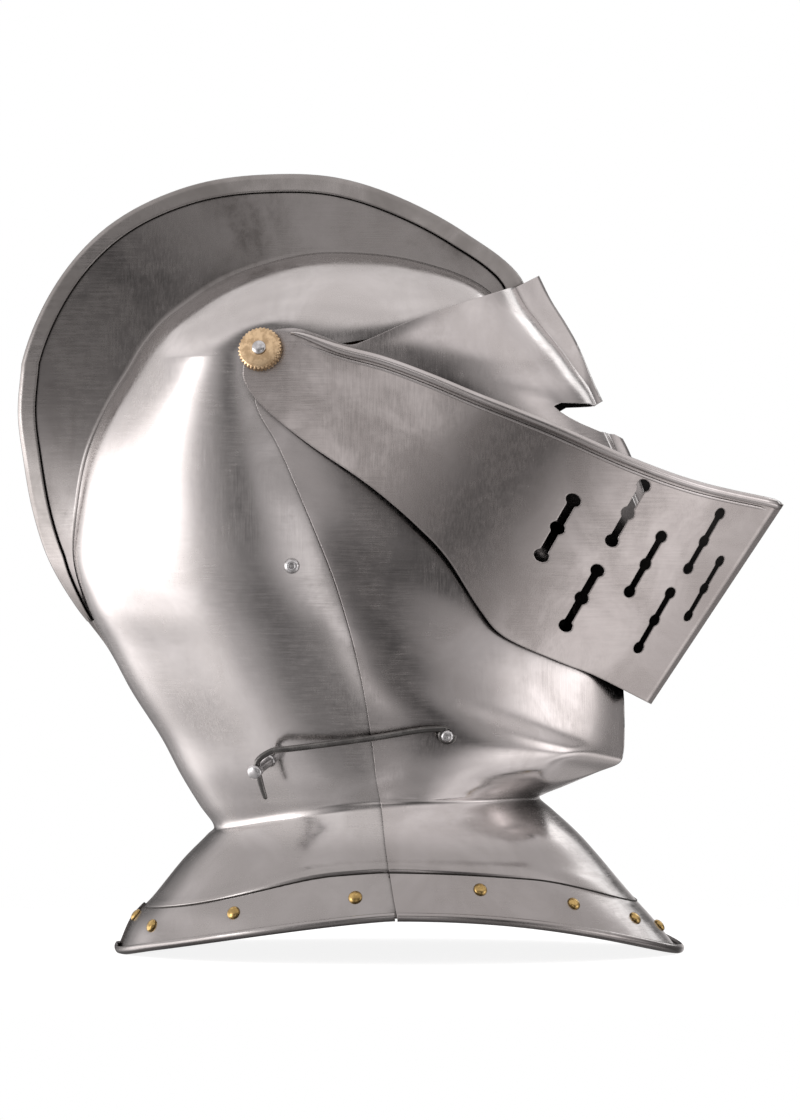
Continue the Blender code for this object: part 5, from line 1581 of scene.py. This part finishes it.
def build_light():
    """A dim room with bright and dark bands, seen only in reflections, and two softboxes."""
    world = bpy.data.worlds.new("studio")
    bpy.context.scene.world = world
    world.use_nodes = True
    n = Nodes(world.node_tree)
    direction = n.add("TexCoord").outputs["Generated"]
    x, y, z = n.axes(direction)
    haze = n.ramp(n.noise(direction, 2.3, 2.0, 0.5, 0.3), 0.36, 0.64, 0.55, 1.25)
    height = n.math("ABSOLUTE", z)
    level = n.ramp(height, 0.66, 0.34)
    near_side = n.ramp(x, 0.16, -0.06, 0.3, 1.0)
    off_centre = n.ramp(n.math("ABSOLUTE", x), 0.04, 0.26, 0.3, 1.0)
    beside = n.math("ABSOLUTE", n.sum(y, 0.10))
    # Each band is a product of ramps over the direction's x, y and z, and most end with their strength.
    bands = (
        # the whole room, the ceiling, and the floor
        (haze, 0.16),
        (n.ramp(z, 0.30, 0.54), 0.68),
        (n.ramp(z, -0.30, -0.55), haze, n.ramp(y, 0.10, -0.20, 0.10, 0.42)),
        # brighter floor in front and behind, and the table's edge
        (n.ramp(z, -0.28, -0.46), n.ramp(y, -0.52, -0.80), off_centre, 0.78),
        (n.ramp(z, -0.36, -0.60), n.ramp(y, -0.10, 0.70), 0.34),
        (n.ramp(z, -0.02, -0.10), n.ramp(z, -0.30, -0.18), n.ramp(y, -0.62, -0.40), 0.10),
        # the wall behind and its window
        (n.ramp(y, 0.30, 0.76), level, 0.55),
        (n.ramp(y, 0.58, 0.88), n.ramp(z, 0.34, 0.06), n.ramp(z, -0.56, -0.26), 1.9),
        # the wall in front and its window
        (n.ramp(y, -0.66, -0.92), level, near_side, 0.40),
        (n.ramp(y, -0.88, -0.98), n.ramp(height, 0.36, 0.14), near_side, 1.3),
        # a soft patch straight out to both sides
        (n.ramp(beside, 0.38, 0.12), n.ramp(z, 0.20, 0.02), n.ramp(z, -0.34, -0.16), 0.66),
    )
    total = n.sum(*(n.product(*band) for band in bands))
    lit = n.add("Background", {"Color": rgb(1.0, 0.955, 0.95), "Strength": total})
    plain = n.add("Background", {"Color": rgb(1.0, 1.0, 1.0), "Strength": 1.0})
    seen = n.add("LightPath").outputs["Is Camera Ray"]
    mixed = n.add("MixShader", {0: seen, 1: lit.outputs[0], 2: plain.outputs[0]})
    n.add("OutputWorld", {"Surface": mixed.outputs[0]})
    softbox("rear_softbox", (-0.50, 0.86, 0.10), 0.5)
    softbox("far_softbox", (0.80, -0.55, 0.35), 0.9)


def build_floor():
    """A pale floor that fades into the white room."""
    mesh = bpy.data.meshes.new("floor")
    corners = [(x * FLOOR_REACH, y * FLOOR_REACH, 0.0) for x, y in ((-1, -1), (1, -1), (1, 1), (-1, 1))]
    mesh.from_pydata(corners, [], [[0, 1, 2, 3]])
    floor = bpy.data.objects.new("floor", mesh)
    bpy.context.scene.collection.objects.link(floor)
    made, n = new_material("floor_paint")
    distance = n.add("VectorMath", {0: n.place()}, operation="LENGTH").outputs["Value"]
    paint = n.add("BsdfDiffuse", {"Color": rgb(0.5, 0.5, 0.5)}).outputs[0]
    glow = n.add("Emission", {"Color": rgb(1.0, 1.0, 1.0), "Strength": 0.88}).outputs[0]
    pale = n.add("AddShader", {0: paint, 1: glow}).outputs[0]
    clear = n.add("BsdfTransparent").outputs[0]
    mixed = n.add("MixShader", {0: n.ramp(distance, 0.10, 0.42), 1: pale, 2: clear})
    n.add("OutputMaterial", {"Surface": mixed.outputs[0]})
    mesh.materials.append(made)
    floor.visible_glossy = False
    floor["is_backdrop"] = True


bpy.context.scene.view_settings.view_transform = "Standard"
build_camera()
build_light()
build_floor()
BEVOR_TREE, SKULL_TREE = build_plates()
build_binding()
build_border()
build_pivots()
build_latch(BEVOR_TREE, SKULL_TREE)
build_liner()
build_straps()
build_buckle()

[[list(corner) for corner in box] for box in (CAD_BOX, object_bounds())]
